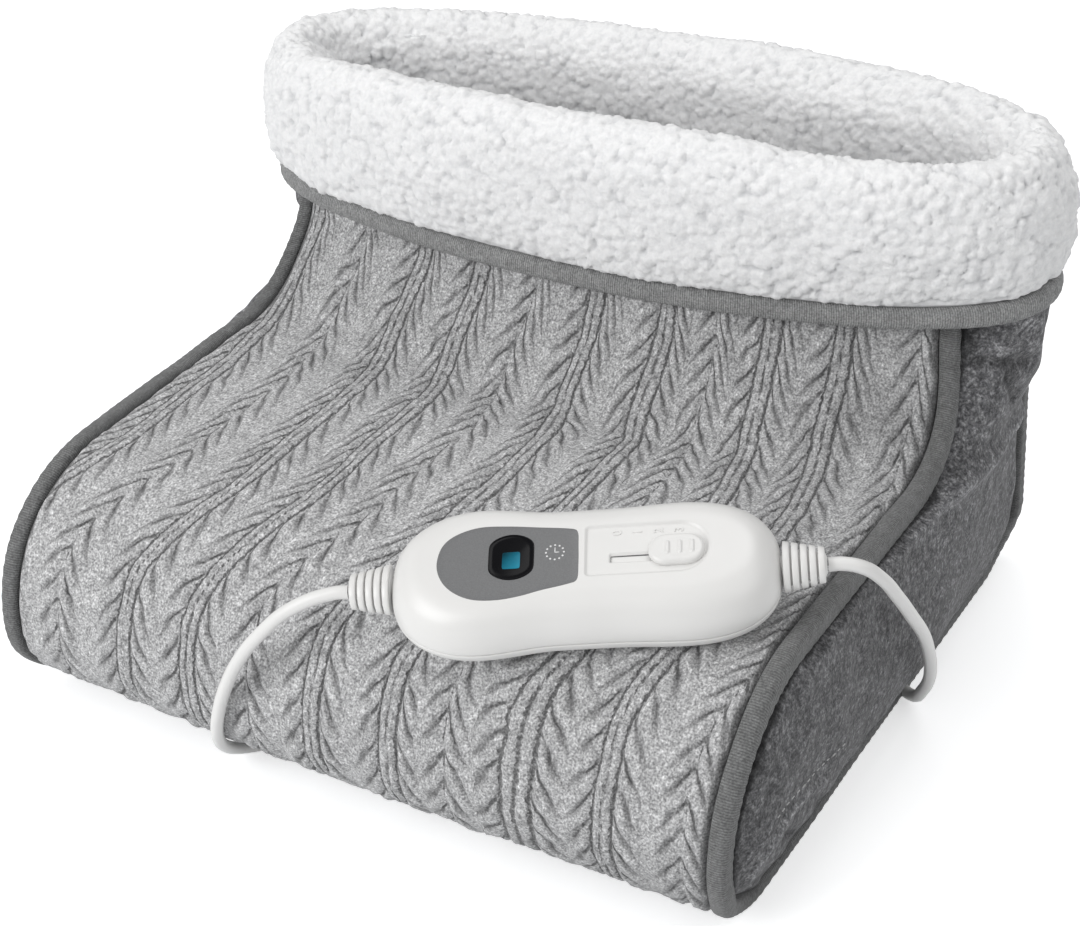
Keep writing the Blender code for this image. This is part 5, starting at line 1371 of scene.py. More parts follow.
# The cuff: its stations round the neck, the tape's, and the neck's mean radius in millimetres
CUFF_TURNS, TAPE_TURNS = 880, 560
NECK_ROUND = 134

# Its seen face as places outward from the inner face and upward, in millimetres
CUFF_SECTION = (
    (4.5, 151.0),
    (8.8, 155.5),
    (10.8, 166.0),
    (10.9, 182.0),
    (9.2, 196.0),
    (4.2, 206.5),
    (-3.0, 210.6),
    (-10.5, 208.0),
    (-15.6, 200.5),
    (-18.4, 190.0),
    (-19.6, 172.0),
    (-19.8, 150.0),
)


def crest_drop(turns, heights):
    """How far the rim is lower than in the middle of the front: at its ends and its back."""
    right = ease(np.cos(turns) / 0.5)
    front = ease((-np.sin(turns) - 0.45 - 0.27 * right) / (0.4 - 0.12 * right))
    back = ease((np.sin(turns) + 0.2) / 0.8)
    at_ends = 5.0 * MM * (1 - front) * ease((heights - 165 * MM) / (40 * MM))
    behind = (2.5 - 1.3 * right) * MM * back * ease((heights - 189 * MM) / (20 * MM))
    return at_ends + behind


def hem_wave(points):
    """How far the cuff's lower edge hangs above or below its line, by its place across the front."""
    x = points[..., 0] / MM
    front = points[..., 1] < neck_middle_y() + FRAME_SHIFT
    return (1.0 * np.exp(-(((x + 112) / 34) ** 2)) - 1.1 * np.exp(-(((x - 20) / 52) ** 2))) * front * MM


def make_cuff():
    """The turned-down collar of curly pile, in two halves that meet edge to edge."""
    seen = even_steps(smooth_line(np.array(CUFF_SECTION) * MM, 12), 1.0 * MM)
    hidden = np.array(((-16.0, 150.0), (-14.5, 192.0), (0.6, 196.8), (0.4, 151.5))) * MM
    section = np.concatenate([seen, hidden])
    turns = even_turns(CUFF_TURNS)
    u, v = np.meshgrid(turns, np.arange(len(section)), indexing="ij")
    level = section[v, 1] - crest_drop(u, section[v, 1])
    at_end = ease((np.cos(u) - 0.72) / 0.22) * ease((section[v, 0] - 2 * MM) / (6 * MM))
    grid = neck_points(u, section[v, 0] - 1.7 * MM * at_end, level)
    grid[..., 2] += hem_wave(grid) * (1 - ease((section[v, 1] - 160 * MM) / (40 * MM)))
    around = np.gradient(np.concatenate([grid[-1:], grid, grid[:1]]), axis=0)[1:-1]
    upwards = np.gradient(grid, axis=1)
    normals = np.cross(around, upwards)
    normals /= np.maximum(np.linalg.norm(normals, axis=-1, keepdims=True), 1e-12)
    middle = np.array([0.0, neck_middle_y() + FRAME_SHIFT, 0.0])
    if ((grid - middle) * normals)[:, 20, :2].sum() < 0:
        normals = -normals
    arc = u * NECK_ROUND
    rise, deep = pebbles(grid, 101)
    lumps = 1.5 * soft_noise(arc, v * 1.0, 33, 105) + 0.8 * soft_noise(arc, v * 1.0, 15, 106)
    fade = ease(np.minimum(v, len(seen) - 1 - v) / 5) * (v < len(seen))
    grid = grid + normals * ((rise - 0.7 + lumps) * fade * MM)[..., None]
    half = len(turns) // 2
    start = round(len(turns) * 0.07)
    for number, name in enumerate(("cuff_pile_back", "cuff_pile_front")):
        rows = (np.arange(half + 1) + start + number * half) % len(turns)
        part = grid[rows]
        count, sides = part.shape[:2]
        starts = range(0, (count - 1) * sides, sides)
        joins = [(a + sides - 1, a + 2 * sides - 1, a + sides, a) for a in starts]
        faces = [*grid_quads(count, sides), *joins]
        uv = np.stack([arc[rows] * MM, v[rows] * MM], axis=-1).reshape(-1, 2)
        # Painted shade between the curls, and a dark band in the lowest rows where the pile meets the tape.
        shade = np.maximum(deep * fade, 1.0 - ease(v / 3.0))[rows]
        piece = finish_piece(name, part.reshape(-1, 3), faces, PILE, uv, {"deep": shade})
        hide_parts("cuff")


def make_cuff_tape():
    """The tape along the cuff's hem."""
    u, v = rounded_section(3.6 * MM, 4.7 * MM, 2.5, 20)
    turns = even_turns(TAPE_TURNS)
    rings = []
    for index, turn in enumerate(turns):
        wave = 0.5 * MM * float(soft_noise(turn * NECK_ROUND, 0.0, 29, 9))
        pucker = 0.18 * MM * math.sin(index * 1.7 + 2 * math.sin(index * 0.31)) * (u > 0)
        outward = 3.1 * MM + u * (1 - 0.12 * v / (4.7 * MM)) + wave * (u > 0) + pucker
        z = 146.4 * MM + v + wave * 0.5
        ring = neck_points(np.full(len(u), turn), outward + 0.8 * MM * ease((math.cos(turn) - 0.8) / 0.18), z)
        ring[:, 2] += hem_wave(ring)
        rings.append(ring)
    piece = loft_piece("cuff_tape", rings, CUFF_TAPE, closed=True)
    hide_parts("cuff_binding")


# The lining


def flatten_rim(height):
    """Takes the curls off the rim of a grid of heights."""
    height[:2], height[-2:], height[:, :2], height[:, -2:] = 0, 0, 0, 0


LINING_STEP = 1.9 * MM
LINING_DEPTH = 9.4 * MM
LINING_THICK = 4.6 * MM
MEAN_CURL = 1.4


def strip_lining(name, node, first, last, depth, thick, seed):
    """Pile lining over a part of the strip, its curls towards the inside."""
    rows = on_step((last - first) / LINING_STEP, BACK_STEP)
    columns = on_step(2 * SEAM_HALF / LINING_STEP, BACK_STEP)
    shares = np.linspace(-0.996, 0.996, columns)
    distances = np.linspace(first, last, rows)
    flat = np.stack([strip_row(d, shares, -(depth + thick)) for d in distances])
    rise, deep = pebbles(flat, seed)
    lumps = 1.2 * soft_noise(*np.meshgrid(shares * HALF_MM, distances / MM), 28, seed + 7)
    height = (rise - MEAN_CURL + lumps) * MM
    flatten_rim(height)
    face = np.stack([strip_row(d, shares, h - (depth + thick)) for d, h in zip(distances, height)])
    back = np.stack([strip_row(d, shares[::BACK_STEP], -depth) for d in distances[::BACK_STEP]])
    uv = np.stack(np.meshgrid(shares * SEAM_HALF, distances), axis=-1)
    piece = closed_sheet(name, face, back, BACK_STEP, PILE, uv, {"deep": deep})
    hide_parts(node)


def make_linings():
    """Pile lining all round the inside."""
    body = (LINING_DEPTH, LINING_THICK)
    strip_lining("lining_front", "vamp_lining", 26 * MM, WRAP_SEAM, *body, 131)
    strip_lining("lining_back", "back_lining", HEEL_SEAM, along(NECK_BACK, 0.4), *body, 141)
    strip_lining("lining_sole", "sole_lining", WRAP_SEAM, HEEL_SEAM, 12.0 * MM, 3.6 * MM, 151)
    for side, sign in (("left", -1), ("right", 1)):
        rows, columns = on_step(96, BACK_STEP), on_step(120, BACK_STEP)
        plan = side_plan(14.4 * MM, rows, columns)
        flat = side_face(sign, plan, 12.4 * MM)
        rise, deep = pebbles(flat, 161)
        height = (rise - MEAN_CURL) * MM
        flatten_rim(height)
        face = side_face(sign, plan, 12.4 * MM + height)
        back = side_face(sign, plan[::BACK_STEP, ::BACK_STEP], 8.6 * MM)
        piece = closed_sheet(f"lining_{side}", face, back, BACK_STEP, PILE, plan.copy(), {"deep": deep})
        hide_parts(f"side_lining_{side}")


# The sole


def make_sole():
    """The sole's cloth, with the grooves that the cords lie in."""
    first, last = WRAP_SEAM + 0.2 * MM, HEEL_SEAM - 0.2 * MM
    rows, columns = on_step((last - first) / (1.5 * MM), BACK_STEP), on_step(200, BACK_STEP)
    shares = np.linspace(-0.998, 0.998, columns)
    distances = np.linspace(first, last, rows)
    base = np.stack([strip_row(d, shares, 0 * shares) for d in distances])
    groove_depth = np.zeros(base.shape[:2])
    for points in (MAINS_POINTS[8:], LEAD_POINTS[9:]):
        line = even_steps(smooth_line(np.array([tuple(p) for p in placed(points)]), 8), 2 * MM)
        apart = np.full(base.shape[:2], 1.0)
        for a in line:
            apart = np.minimum(apart, np.hypot(base[..., 0] - a[0], base[..., 1] - a[1]))
        groove_depth = np.maximum(groove_depth, 5.6 * MM * (1 - ease((apart - 2.7 * MM) / (1.4 * MM))))
    face = np.stack([strip_row(d, shares, -h) for d, h in zip(distances, groove_depth)])
    back = np.stack([strip_row(d, shares[::BACK_STEP], -7.3 * MM) for d in distances[::BACK_STEP]])
    face[..., 2] = np.maximum(face[..., 2], 0.0)
    uv = np.stack(np.meshgrid(shares * SEAM_HALF, distances), axis=-1)
    piece = closed_sheet("sole_cloth", face, back, BACK_STEP, FLEECE, uv)
    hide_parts("sole_panel")


# The hand control

CASE_HALF_LENGTH = 68 * MM
CASE_HALF_WAIST = 26.4 * MM
CASE_TOP = 24.5 * MM
CASE_PARTING = 9 * MM
CASE_WALL = 2 * MM
CASE_LOBES = ((3.1 * MM, -42 * MM), (1.4 * MM, 42 * MM))
LOBE_SPREAD = 34 * MM
END_POWER, END_ROOT = 5.6, 2.3
COVER_SHOULDER = 13 * MM
BASE_SHOULDER = 14 * MM
COVER_POWER, BASE_POWER = 2.2, 2.9
SCREW_PLACE = (50 * MM, 10.5 * MM)
KNOB_MIDDLE = (32.7, 0.0)
TIMER_RING = (-9.0, 1.5)


def case_half(share):
    """Half the case's width at a share of its length, and how far its round end closes it."""
    wide = CASE_HALF_WAIST + 0 * share
    for size, place in CASE_LOBES:
        away = np.abs(share * CASE_HALF_LENGTH - place) / LOBE_SPREAD
        wide = wide + size * np.cos(QUARTER * np.minimum(away, 1.0)) ** 2
    return wide, np.maximum(1 - np.abs(share) ** END_POWER, 0.0) ** (1 / END_ROOT)


def even_shares(count):
    """Shares of the case's length at even steps along one edge, from its right end to its left."""
    turn = np.linspace(0, math.pi, 8001)
    share = np.sign(np.cos(turn)) * np.abs(np.cos(turn)) ** (2 / (END_POWER - 2))
    wide, close = case_half(share)
    line = np.stack([share * CASE_HALF_LENGTH, wide * close], axis=-1)
    run = np.concatenate([[0.0], np.cumsum(np.linalg.norm(np.diff(line, axis=0), axis=1))])
    return np.interp(np.linspace(0, run[-1], count + 1), run, share)


CASE_SHARES = even_shares(300)


def case_loop(inset, z, squeeze=0.0):
    """Points round the case, drawn in by an inset and squeezed towards its middle line."""
    wide, close = case_half(CASE_SHARES)
    x = CASE_SHARES * (CASE_HALF_LENGTH - inset) * (1 - 0.3 * squeeze)
    y = (wide - inset) * close * (1 - squeeze)
    x = np.concatenate([x, x[-2:0:-1]])
    y = np.concatenate([y, -y[-2:0:-1]])
    return np.stack([x, y, np.full(len(x), z)], axis=-1)


def on_control(points):
    """Points of the control's own frame, in the model's frame."""
    turn, place = np.array(CONTROL.to_3x3()), np.array(CONTROL.translation)
    return np.asarray(points) @ turn.T + place


def long_piece(name, loops, material, body="root"):
    """A closed piece of long loops, whose first and last close along their middle line."""
    loops = np.asarray(loops)
    count, around = loops.shape[:2]
    half = around // 2
    faces = []
    for i in range(count - 1):
        a, b = i * around, (i + 1) * around
        faces += [(a + j, a + (j + 1) % around, b + (j + 1) % around, b + j) for j in range(around)]
    for first in (0, (count - 1) * around):
        for k in range(half):
            quad = (first + k, first + k + 1, first + around - k - 1, first + (around - k) % around)
            faces.append(tuple(dict.fromkeys(quad)))
    uv = loops[..., :2].reshape(-1, 2)
    return finish_piece(name, on_control(loops).reshape(-1, 3), faces, material, uv, None, body)


def face_crown(y):
    """How far the case's face is crowned across, from millimetres to millimetres."""
    return 0.35 * np.maximum(1 - (y / 17) ** 2, 0)


def round_box(x, y, left, right, low, high, radius, soft):
    """1 inside a box with round corners, falling softly to 0 at its edge."""
    cx, cy = (left + right) / 2, (low + high) / 2
    over_x = np.abs(x - cx) - ((right - left) / 2 - radius)
    over_y = np.abs(y - cy) - ((high - low) / 2 - radius)
    outside = np.hypot(np.maximum(over_x, 0), np.maximum(over_y, 0))
    inside = np.minimum(np.maximum(over_x, over_y), 0)
    return ease(0.5 - (outside + inside - radius) / soft)


def face_height(x, y):
    """The face's crown less its trough and groove, in millimetres."""
    trough = 0.9 * round_box(x, y, 1.6, 43.6, -9.0, 11.9, 10.0, 1.3)
    square_end = 0.9 * round_box(x, y, 1.6, 30.0, -9.0, 11.9, 1.2, 1.3)
    groove = 1.0 * round_box(x, y, 9.8, 36.0, -3.5, -0.2, 0.3, 0.5)
    return face_crown(y) - np.maximum(trough, square_end) - groove


def make_case():
    """Cover and base of the case, hollow, with a fine parting line between them."""
    rise = CASE_TOP - CASE_PARTING
    steps = 1 - np.cos(np.linspace(0.0, QUARTER, 30))
    shoulder = COVER_SHOULDER * steps
    climb = np.sqrt(1 - (1 - steps) ** COVER_POWER)
    outer = [case_loop(0.3 * MM, CASE_PARTING), case_loop(0.06 * MM, CASE_PARTING + 0.12 * MM)]
    outer += [case_loop(i, CASE_PARTING + 0.3 * MM + (rise - 0.3 * MM) * c) for i, c in zip(shoulder, climb)]
    squeezes = np.linspace(0, 1, 44)[1:-1] ** 0.97
    outer += [case_loop(COVER_SHOULDER, CASE_TOP, k) for k in squeezes]
    outer = np.array(outer)
    x, y = outer[..., 0] / MM, outer[..., 1] / MM
    level = ease((outer[..., 2] - CASE_TOP + 3 * MM) / (3 * MM))
    outer[..., 2] += face_height(x, y) * level * MM
    inner_steps = steps[::5]
    roof = rise - 2.2 * CASE_WALL
    inner = [
        case_loop(COVER_SHOULDER * i + CASE_WALL, CASE_PARTING + roof * math.sqrt(1 - (1 - i) ** COVER_POWER))
        for i in inner_steps
    ]
    inner.append(case_loop(COVER_SHOULDER + CASE_WALL, CASE_PARTING + roof, 0.9))
    cover = long_piece("control_cover_shell", [*inner[::-1], *outer], WHITE_PLASTIC)
    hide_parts("control_cover")
    low = CASE_PARTING - 0.3 * MM
    drop = np.sqrt(1 - (1 - steps) ** BASE_POWER)
    outer = [case_loop(0.3 * MM, low), case_loop(0.06 * MM, low - 0.12 * MM)]
    outer += [case_loop(i, (low - 0.3 * MM) * (1 - d)) for i, d in zip(BASE_SHOULDER * steps, drop)]
    outer += [case_loop(BASE_SHOULDER, 0.0, k) for k in np.linspace(0, 1, 34)[1:-1]]
    outer = np.array(outer)
    for sign_x in (-1, 1):
        for sign_y in (-1, 1):
            apart = np.hypot(outer[..., 0] - sign_x * SCREW_PLACE[0], outer[..., 1] - sign_y * SCREW_PLACE[1])
            outer[..., 2] += 2.4 * MM * (1 - ease((apart - 3.0 * MM) / (0.5 * MM))) * (outer[..., 2] < 4 * MM)
    bottom = CASE_WALL * 1.6
    inner = []
    for i in inner_steps:
        sunk = math.sqrt(1 - (1 - i) ** BASE_POWER)
        inner.append(case_loop(BASE_SHOULDER * i + CASE_WALL, bottom + (low - bottom) * (1 - sunk)))
    inner.append(case_loop(BASE_SHOULDER + CASE_WALL, bottom, 0.9))
    base = long_piece("control_base_shell", [*inner[::-1], *outer], WHITE_PLASTIC)
    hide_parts("control_base")


def face_piece(name, outline, levels, material, middle):
    """A thin piece on the control's face: its outline at levels of scale and height."""
    outline, middle = np.asarray(outline, dtype=float), np.asarray(middle, dtype=float)
    rings = []
    for scale, lift in levels:
        x, y = (middle + (outline - middle) * scale).T
        rings.append(np.stack([x, y, CASE_TOP / MM + face_crown(y) + lift], axis=-1))
    return loft_piece(name, on_control(np.array(rings) * MM), material)


def label_line():
    """The label: a round left end, drawn in to a straight right end with small corners."""
    bend = smooth_line(
        ((-0.9, 4), (-1.3, 10.0), (-4.0, 11.6), (-14.5, 12.9), (-25.7, 14.2), (-35.6, 14.4), (-43.5, 11.7),
         (-48.3, 7), (-50, -0.6), (-48.4, -7.4), (-44.2, -12.8), (-37.5, -16.4), (-29, -17.2), (-20.5, -16),
         (-13.7, -14.2), (-4.2, -12.1), (-1.2, -10.4), (-0.8, -4)),
        8,
        True,
    )
    return even_steps(np.concatenate([bend, bend[:1]]), 1.0)[:-1]


def window_line():
    """A circle cut straight on its left and right, with softened corners."""
    turn = np.linspace(0, 2 * math.pi, 121)[:-1]
    x, y = 9.5 * np.cos(turn), 9.5 * np.sin(turn)
    x = 7.7 * np.tanh((np.abs(x) / 7.7) ** 6) ** (1 / 6) * np.sign(x)
    return np.stack([x - 24.1, y + 0.5], axis=-1)


def soft_square(left, right, low, high, power=9.0, count=48):
    """Points round a square with small round corners."""
    u, v = rounded_section((right - left) / 2, (high - low) / 2, power, count)
    return np.stack([u + (left + right) / 2, v + (low + high) / 2], axis=-1)


def make_face():
    """The label, its window with the lit square in it, and the timer's ring of dots."""
    sheet = ((0.985, -0.5), (1.0, -0.35), (1.0, 0.0), (0.994, 0.05))
    inner = tuple((k, 0.06) for k in (0.9, 0.75, 0.6, 0.45, 0.3, 0.15, 0.03))
    label = face_piece("label_sheet", label_line(), sheet + inner, LABEL_FILM, (-27.0, -1.2))
    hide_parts("control_label")
    rim = ((1.03, -0.3), (1.03, 0.1), (1.01, 0.24), (0.985, 0.24), (0.965, 0.12), (0.94, 0.06))
    glass = ((0.8, 0.12), (0.6, 0.18), (0.4, 0.21), (0.2, 0.23), (0.03, 0.23))
    lens = face_piece("window_lens", window_line(), rim + glass, WINDOW, (-24.1, 0.5))
    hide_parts("display_lens")
    square = soft_square(-27.2, -21.0, -4.6, 2.5)
    levels = ((1.0, 0.1), (1.0, 0.245), (0.96, 0.26), (0.03, 0.262))
    lit = face_piece("lit_square", square, levels, LIT, (-24.0, -0.9))
    back = CONTROL.inverted()
    local = np.array([tuple(back @ v.co) for v in lit.data.vertices]) / MM
    shade = 0.5 * (1 - (local[:, 0] + 27.4) / 6.7) + 0.5 * (local[:, 1] + 4.6) / 7.4
    lit.data.attributes.new("shade", "FLOAT", "POINT").data.foreach_set("value", shade.astype(np.float32))
    make_timer_ring()


def repeat_tree(material):
    """A node tree that sets a shape at each place, turned to its facing, a little varied in size."""
    tree = bpy.data.node_groups.new("repeat_shape", "GeometryNodeTree")
    kinds = {"Places": "Geometry", "Shape": "Object", "Size": "Float", "Variation": "Float", "Seed": "Int"}
    for label, kind in kinds.items():
        tree.interface.new_socket(label, in_out="INPUT", socket_type=f"NodeSocket{kind}")
    tree.interface.new_socket("Pieces", in_out="OUTPUT", socket_type="NodeSocketGeometry")
    nodes, link = tree.nodes, tree.links.new
    start, end = nodes.new("NodeGroupInput"), nodes.new("NodeGroupOutput")
    info = nodes.new("GeometryNodeObjectInfo")
    directions = []
    for name in ("facing", "heading"):
        reader = nodes.new("GeometryNodeInputNamedAttribute")
        reader.data_type = "FLOAT_VECTOR"
        reader.inputs["Name"].default_value = name
        directions.append(reader.outputs["Attribute"])
    upright = nodes.new("FunctionNodeAlignRotationToVector")
    upright.axis = "Z"
    ahead = nodes.new("FunctionNodeAlignRotationToVector")
    ahead.axis, ahead.pivot_axis = "X", "Z"
    least, most = nodes.new("ShaderNodeMath"), nodes.new("ShaderNodeMath")
    least.operation, most.operation = "SUBTRACT", "ADD"
    drawn = nodes.new("FunctionNodeRandomValue")
    drawn.data_type = "FLOAT"
    spots = nodes.new("GeometryNodeInstanceOnPoints")
    realise = nodes.new("GeometryNodeRealizeInstances")
    dress = nodes.new("GeometryNodeSetMaterial")
    dress.inputs["Material"].default_value = material
    link(start.outputs["Shape"], info.inputs["Object"])
    link(directions[0], upright.inputs["Vector"])
    link(upright.outputs["Rotation"], ahead.inputs["Rotation"])
    link(directions[1], ahead.inputs["Vector"])
    for node in (least, most):
        link(start.outputs["Size"], node.inputs[0])
        link(start.outputs["Variation"], node.inputs[1])
    floats = [socket for socket in drawn.inputs if socket.type == "VALUE"]
    link(least.outputs[0], floats[0])
    link(most.outputs[0], floats[1])
    link(start.outputs["Seed"], drawn.inputs["Seed"])
    link(start.outputs["Places"], spots.inputs["Points"])
    link(info.outputs["Geometry"], spots.inputs["Instance"])
    link(ahead.outputs["Rotation"], spots.inputs["Rotation"])
    link([socket for socket in drawn.outputs if socket.type == "VALUE"][0], spots.inputs["Scale"])
    link(spots.outputs["Instances"], realise.inputs["Geometry"])
    link(realise.outputs["Geometry"], dress.inputs["Geometry"])
    link(dress.outputs["Geometry"], end.inputs["Pieces"])
    return tree


def repeat_shape(name, shape, places, facings, headings, material, variation=0.0, seed=1, body="root"):
    """Sets one small shape at many places with Geometry Nodes, as one plain mesh piece."""
    points = bpy.data.meshes.new(f"{name}_places")
    points.from_pydata([tuple(p) for p in places], [], [])
    for key, vectors in (("facing", facings), ("heading", headings)):
        attribute = points.attributes.new(key, "FLOAT_VECTOR", "POINT")
        attribute.data.foreach_set("vector", np.asarray(vectors, dtype=np.float32).ravel())
    holder = new_object(f"{name}_holder", points)
    bpy.context.scene.collection.objects.link(shape)
    tree = repeat_tree(material)
    settings = {"Shape": shape, "Size": 1.0, "Variation": variation, "Seed": seed}
    modifier = holder.modifiers.new("repeat", "NODES")
    modifier.node_group = tree
    for item in tree.interface.items_tree:
        if item.in_out == "INPUT" and item.name in settings:
            modifier[item.identifier] = settings[item.name]
    graph = bpy.context.evaluated_depsgraph_get()
    mesh = bpy.data.meshes.new_from_object(holder.evaluated_get(graph))
    mesh.name = name
    bpy.data.objects.remove(holder)
    bpy.data.objects.remove(shape)
    piece = new_object(name, mesh)
    mesh.shade_smooth()
    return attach(piece, body)


def small_shape(name, rings):
    """A closed shape of rings, for repeating."""
    rings = np.asarray(rings, dtype=float)
    count, sides = rings.shape[:2]
    faces = [tuple(reversed(range(sides))), tuple(range((count - 1) * sides, count * sides))]
    for i in range(count - 1):
        for j in range(sides):
            k = (j + 1) % sides
            faces.append((i * sides + j, i * sides + k, (i + 1) * sides + k, (i + 1) * sides + j))
    mesh = bpy.data.meshes.new(name)
    mesh.from_pydata([tuple(p) for p in rings.reshape(-1, 3)], [], faces)
    face_outwards(mesh)
    return bpy.data.objects.new(name, mesh)


def make_timer_ring():
    """Printed ring of twelve dots with a clock's two hands in it."""
    turn = 2 * math.pi * np.arange(12) / 12
    x = TIMER_RING[0] + 3.1 * np.cos(turn)
    y = TIMER_RING[1] + 3.1 * np.sin(turn)
    level = CASE_TOP / MM + face_crown(y) + 0.05
    places = on_control(np.stack([x, y, level], axis=-1) * MM)
    up = np.array(CONTROL.to_3x3() @ Vector((0, 0, 1)))
    ahead = np.array(CONTROL.to_3x3() @ Vector((1, 0, 0)))
    around = 2 * math.pi * np.arange(10) / 10
    disc = [
        np.stack([r * np.cos(around), r * np.sin(around), np.full(10, z)], axis=-1) * MM
        for r, z in ((0.38, -0.03), (0.38, 0.03), (0.3, 0.05))
    ]
    facings, headings = np.tile(up, (12, 1)), np.tile(ahead, (12, 1))
    dots = repeat_shape("timer_dots", small_shape("dot", disc), places, facings, headings, PRINT_WHITE)
    for number, (dx, dy) in enumerate(((0.0, 1.9), (1.3, 0.0))):
        cx, cy = TIMER_RING[0] + dx / 2, TIMER_RING[1] + dy / 2
        wide, tall = max(dx, 0.0) / 2 + 0.2, max(dy, 0.0) / 2 + 0.2
        line = soft_square(cx - wide, cx + wide, cy - tall, cy + tall, 6.0, 24)
        levels = ((1.0, 0.03), (1.0, 0.1), (0.05, 0.1))
        hand = face_piece(f"timer_hand_{number + 1}", line, levels, PRINT_WHITE, (cx, cy))


def make_slot_shadow():
    """Painted shadow: dark sheets along two edges of the slider's groove, where its top and end walls cast
    shadow.
    """
    for name, box in (("slot_gap_top", (9.9, 30.0, -0.75, -0.3)), ("slot_gap_end", (9.8, 10.2, -3.3, -0.4))):
        line = soft_square(*box, 6.0, 24)
        middle = ((box[0] + box[1]) / 2, (box[2] + box[3]) / 2)
        levels = ((1.0, -2.2), (1.0, -1.78), (0.9, -1.74), (0.05, -1.74))
        shadow_sheet = face_piece(name, line, levels, PAINTED_SLOT_SHADOW, middle)


def make_slide_numbers():
    """Raised plain numbers over the slider's groove, read with the control held upright."""
    for number, x in enumerate((12.3, 19.4, 26.5, 33.6)):
        text = bpy.data.curves.new(f"slide_number_{number}", "FONT")
        text.body = str(number)
        text.size = 4.6 * MM
        text.extrude = 0.16 * MM
        text.bevel_depth = 0.04 * MM
        text.align_x, text.align_y = "CENTER", "CENTER"
        made = new_object(f"text_{number}", text)
        graph = bpy.context.evaluated_depsgraph_get()
        mesh = bpy.data.meshes.new_from_object(made.evaluated_get(graph))
        bpy.data.objects.remove(made)
        floor = CASE_TOP + (float(face_crown(9.0)) - 0.9 + 0.1) * MM
        place = Matrix.Translation(Vector((x * MM, 9.0 * MM, floor)))
        mesh.transform(CONTROL @ place @ Matrix.Rotation(QUARTER, 4, "Z"))
        mesh.name = f"slide_number_{number}"
        mesh.materials.clear()
        mesh.materials.append(WHITE_PLASTIC)
        piece = new_object(mesh.name, mesh)
        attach(piece, "root")


def pill_loop(inset, z, squeeze=0.0):
    """Points round the knob's pill, drawn in by an inset and squeezed to its middle line."""
    half, radius = 9.7 * MM, 6.3 * MM
    turn = np.linspace(0, math.pi, 61)
    straight = half - radius
    x = np.concatenate([straight + radius * np.cos(turn[:31]), -straight + radius * np.cos(turn[30:])])
    y = radius * np.sin(np.concatenate([turn[:31], turn[30:]]))
    run = np.concatenate([[0.0], np.cumsum(np.hypot(np.diff(x), np.diff(y)))])
    marks = np.linspace(0, run[-1], 81)
    x, y = np.interp(marks, run, x), np.interp(marks, run, y)
    x = x * (half - inset) / half * (1 - 0.55 * squeeze)
    y = y * (radius - inset) / radius * (1 - squeeze)
    x, y = np.concatenate([x, x[-2:0:-1]]), np.concatenate([y, -y[-2:0:-1]])
    return np.stack([x + KNOB_MIDDLE[0] * MM, y + KNOB_MIDDLE[1] * MM, np.full(len(x), z)], axis=-1)


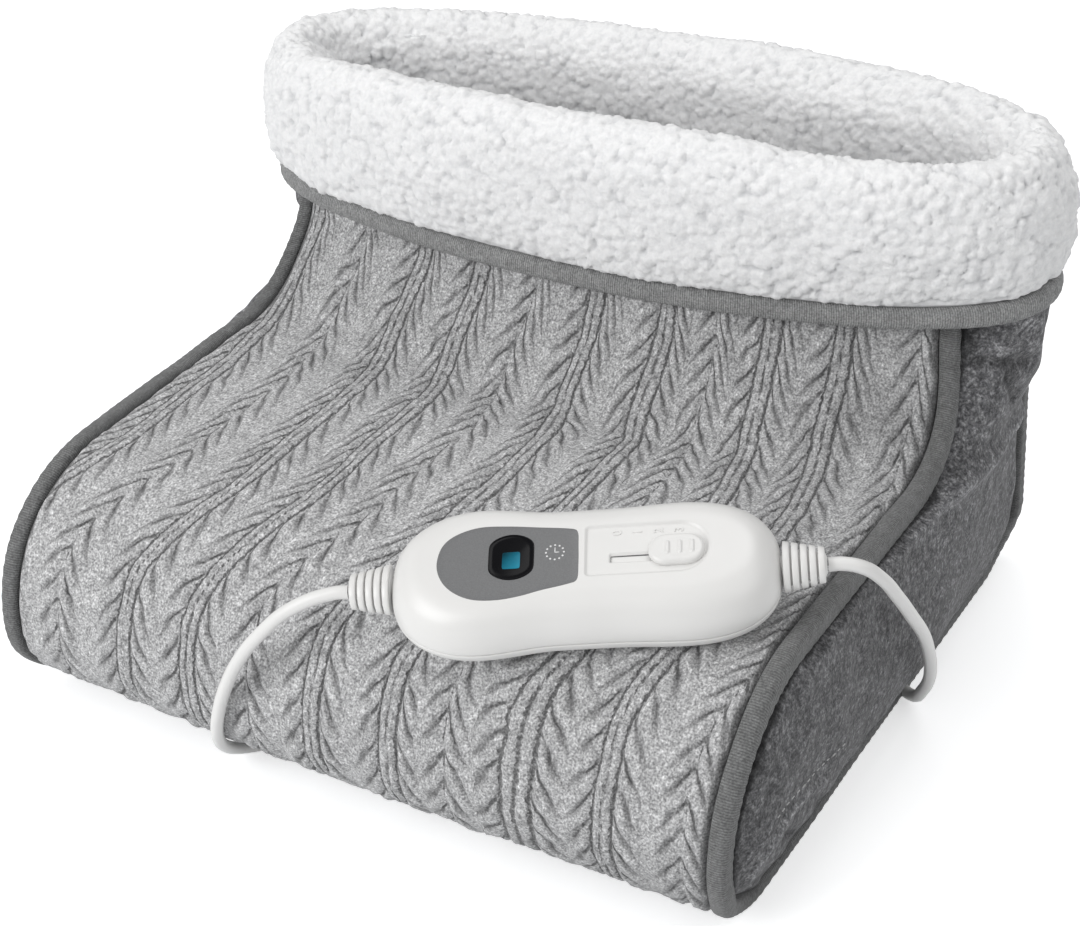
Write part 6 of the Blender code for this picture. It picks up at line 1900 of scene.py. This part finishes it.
def make_knob():
    """The sliding knob: a soft-edged pill with three short grip ribs, on its stem."""
    low = CASE_TOP - 0.75 * MM
    steps = 1 - np.cos(np.linspace(0.0, QUARTER, 12))
    loops = [pill_loop(0.3 * MM + 1.3 * MM * k, low - 0.02 * MM) for k in (1.0, 0.5, 0.0)]
    loops += [pill_loop(0.0, low + z * MM) for z in (0.2, 0.7)]
    edge = 1.5 * MM
    loops += [pill_loop(edge * k, low + (0.7 + 1.7 * math.sqrt(1 - (1 - k) ** 2)) * MM) for k in steps[1:]]
    loops += [pill_loop(edge, low + 2.4 * MM, k) for k in np.linspace(0, 1, 22)[1:-1]]
    loops = np.array(loops)
    x, y = loops[..., 0] / MM - KNOB_MIDDLE[0], loops[..., 1] / MM - KNOB_MIDDLE[1]
    top = ease((loops[..., 2] - low - 1.8 * MM) / (0.6 * MM))
    dish = 0.25 * (1 - np.clip(np.hypot(x / 7.5, y / 4.4), 0, 1) ** 2)
    ribs = sum(round_box(x, y, c - 0.65, c + 0.65, -2.6, 2.6, 0.6, 0.7) for c in (-3.0, 1.2, 5.4))
    loops[..., 2] += (0.55 * ribs - dish) * top * MM
    knob = long_piece("sliding_knob", loops, WHITE_PLASTIC, "knob")
    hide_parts("slide_knob")
    u, v = rounded_section(1.6 * MM, 0.65 * MM, 4.0, 16)
    beside_gap = 0.55 * MM
    rings = [
        np.stack([u + KNOB_MIDDLE[0] * MM, v + beside_gap, np.full(16, z)], axis=-1)
        for z in (CASE_TOP - 8.0 * MM, low + 0.6 * MM)
    ]
    stem = loft_piece("knob_stem", on_control(np.array(rings)), WHITE_PLASTIC, False, "knob")


# One rib of a strain relief: places along it as shares, and how deep it is drawn in there
RELIEF_RIB = (
    (0.0, 1.9),
    (0.01, 0.5),
    (0.05, 0.16),
    (0.12, 0),
    (0.66, 0),
    (0.74, 0.16),
    (0.78, 0.5),
    (0.79, 1.9),
    (0.8, 2.2),
    (0.99, 2.2),
)


def make_reliefs():
    """Ribbed strain reliefs at both ends of the control."""
    root, tip, length = (9.7, 7.8), (6.3, 5.6), 15.0
    around = 2 * math.pi * np.arange(48) / 48
    half_case, middle = CASE_HALF_LENGTH / MM, RELIEF_Z / MM
    for name, node, sign in (("relief_mains", "mains_relief", -1), ("relief_lead", "lead_relief", 1)):
        levels = [(-5.5, 4.2, 4.2), (-0.2, 4.2, 4.2), (0.0, root[0] - 1.2, root[1] - 1.2)]
        for i in range(5):
            for part, groove in RELIEF_RIB:
                share = (i + part) / 5
                wide = root[0] + (tip[0] - root[0]) * share - 0.95 * groove
                tall = root[1] + (tip[1] - root[1]) * share - 0.95 * groove
                levels.append((0.12 + length * share, wide, tall))
        levels[-1] = (length - 0.25, 3.6, 3.6)
        levels.append((length, 3.1, 3.1))
        levels.append((length + 0.15, 2.62, 2.62))
        rings = []
        for run, wide, tall in levels:
            x = np.full(48, sign * (half_case + run))
            rings.append(np.stack([x, wide * np.cos(around), middle + tall * np.sin(around)], axis=-1))
        relief = loft_piece(name, on_control(np.array(rings) * MM), WHITE_PLASTIC)
        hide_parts(node)


def make_control():
    """The hand control with its face, slider and strain reliefs."""
    make_case()
    make_face()
    make_slot_shadow()
    make_slide_numbers()
    make_knob()
    make_reliefs()


dress_nodes()
add_camera()
studio()
make_cords()
make_knit()
make_side_binding("left", -1)
make_side_binding("right", 1)
make_sides()
make_cuff()
make_cuff_tape()
make_linings()
make_sole()
make_control()
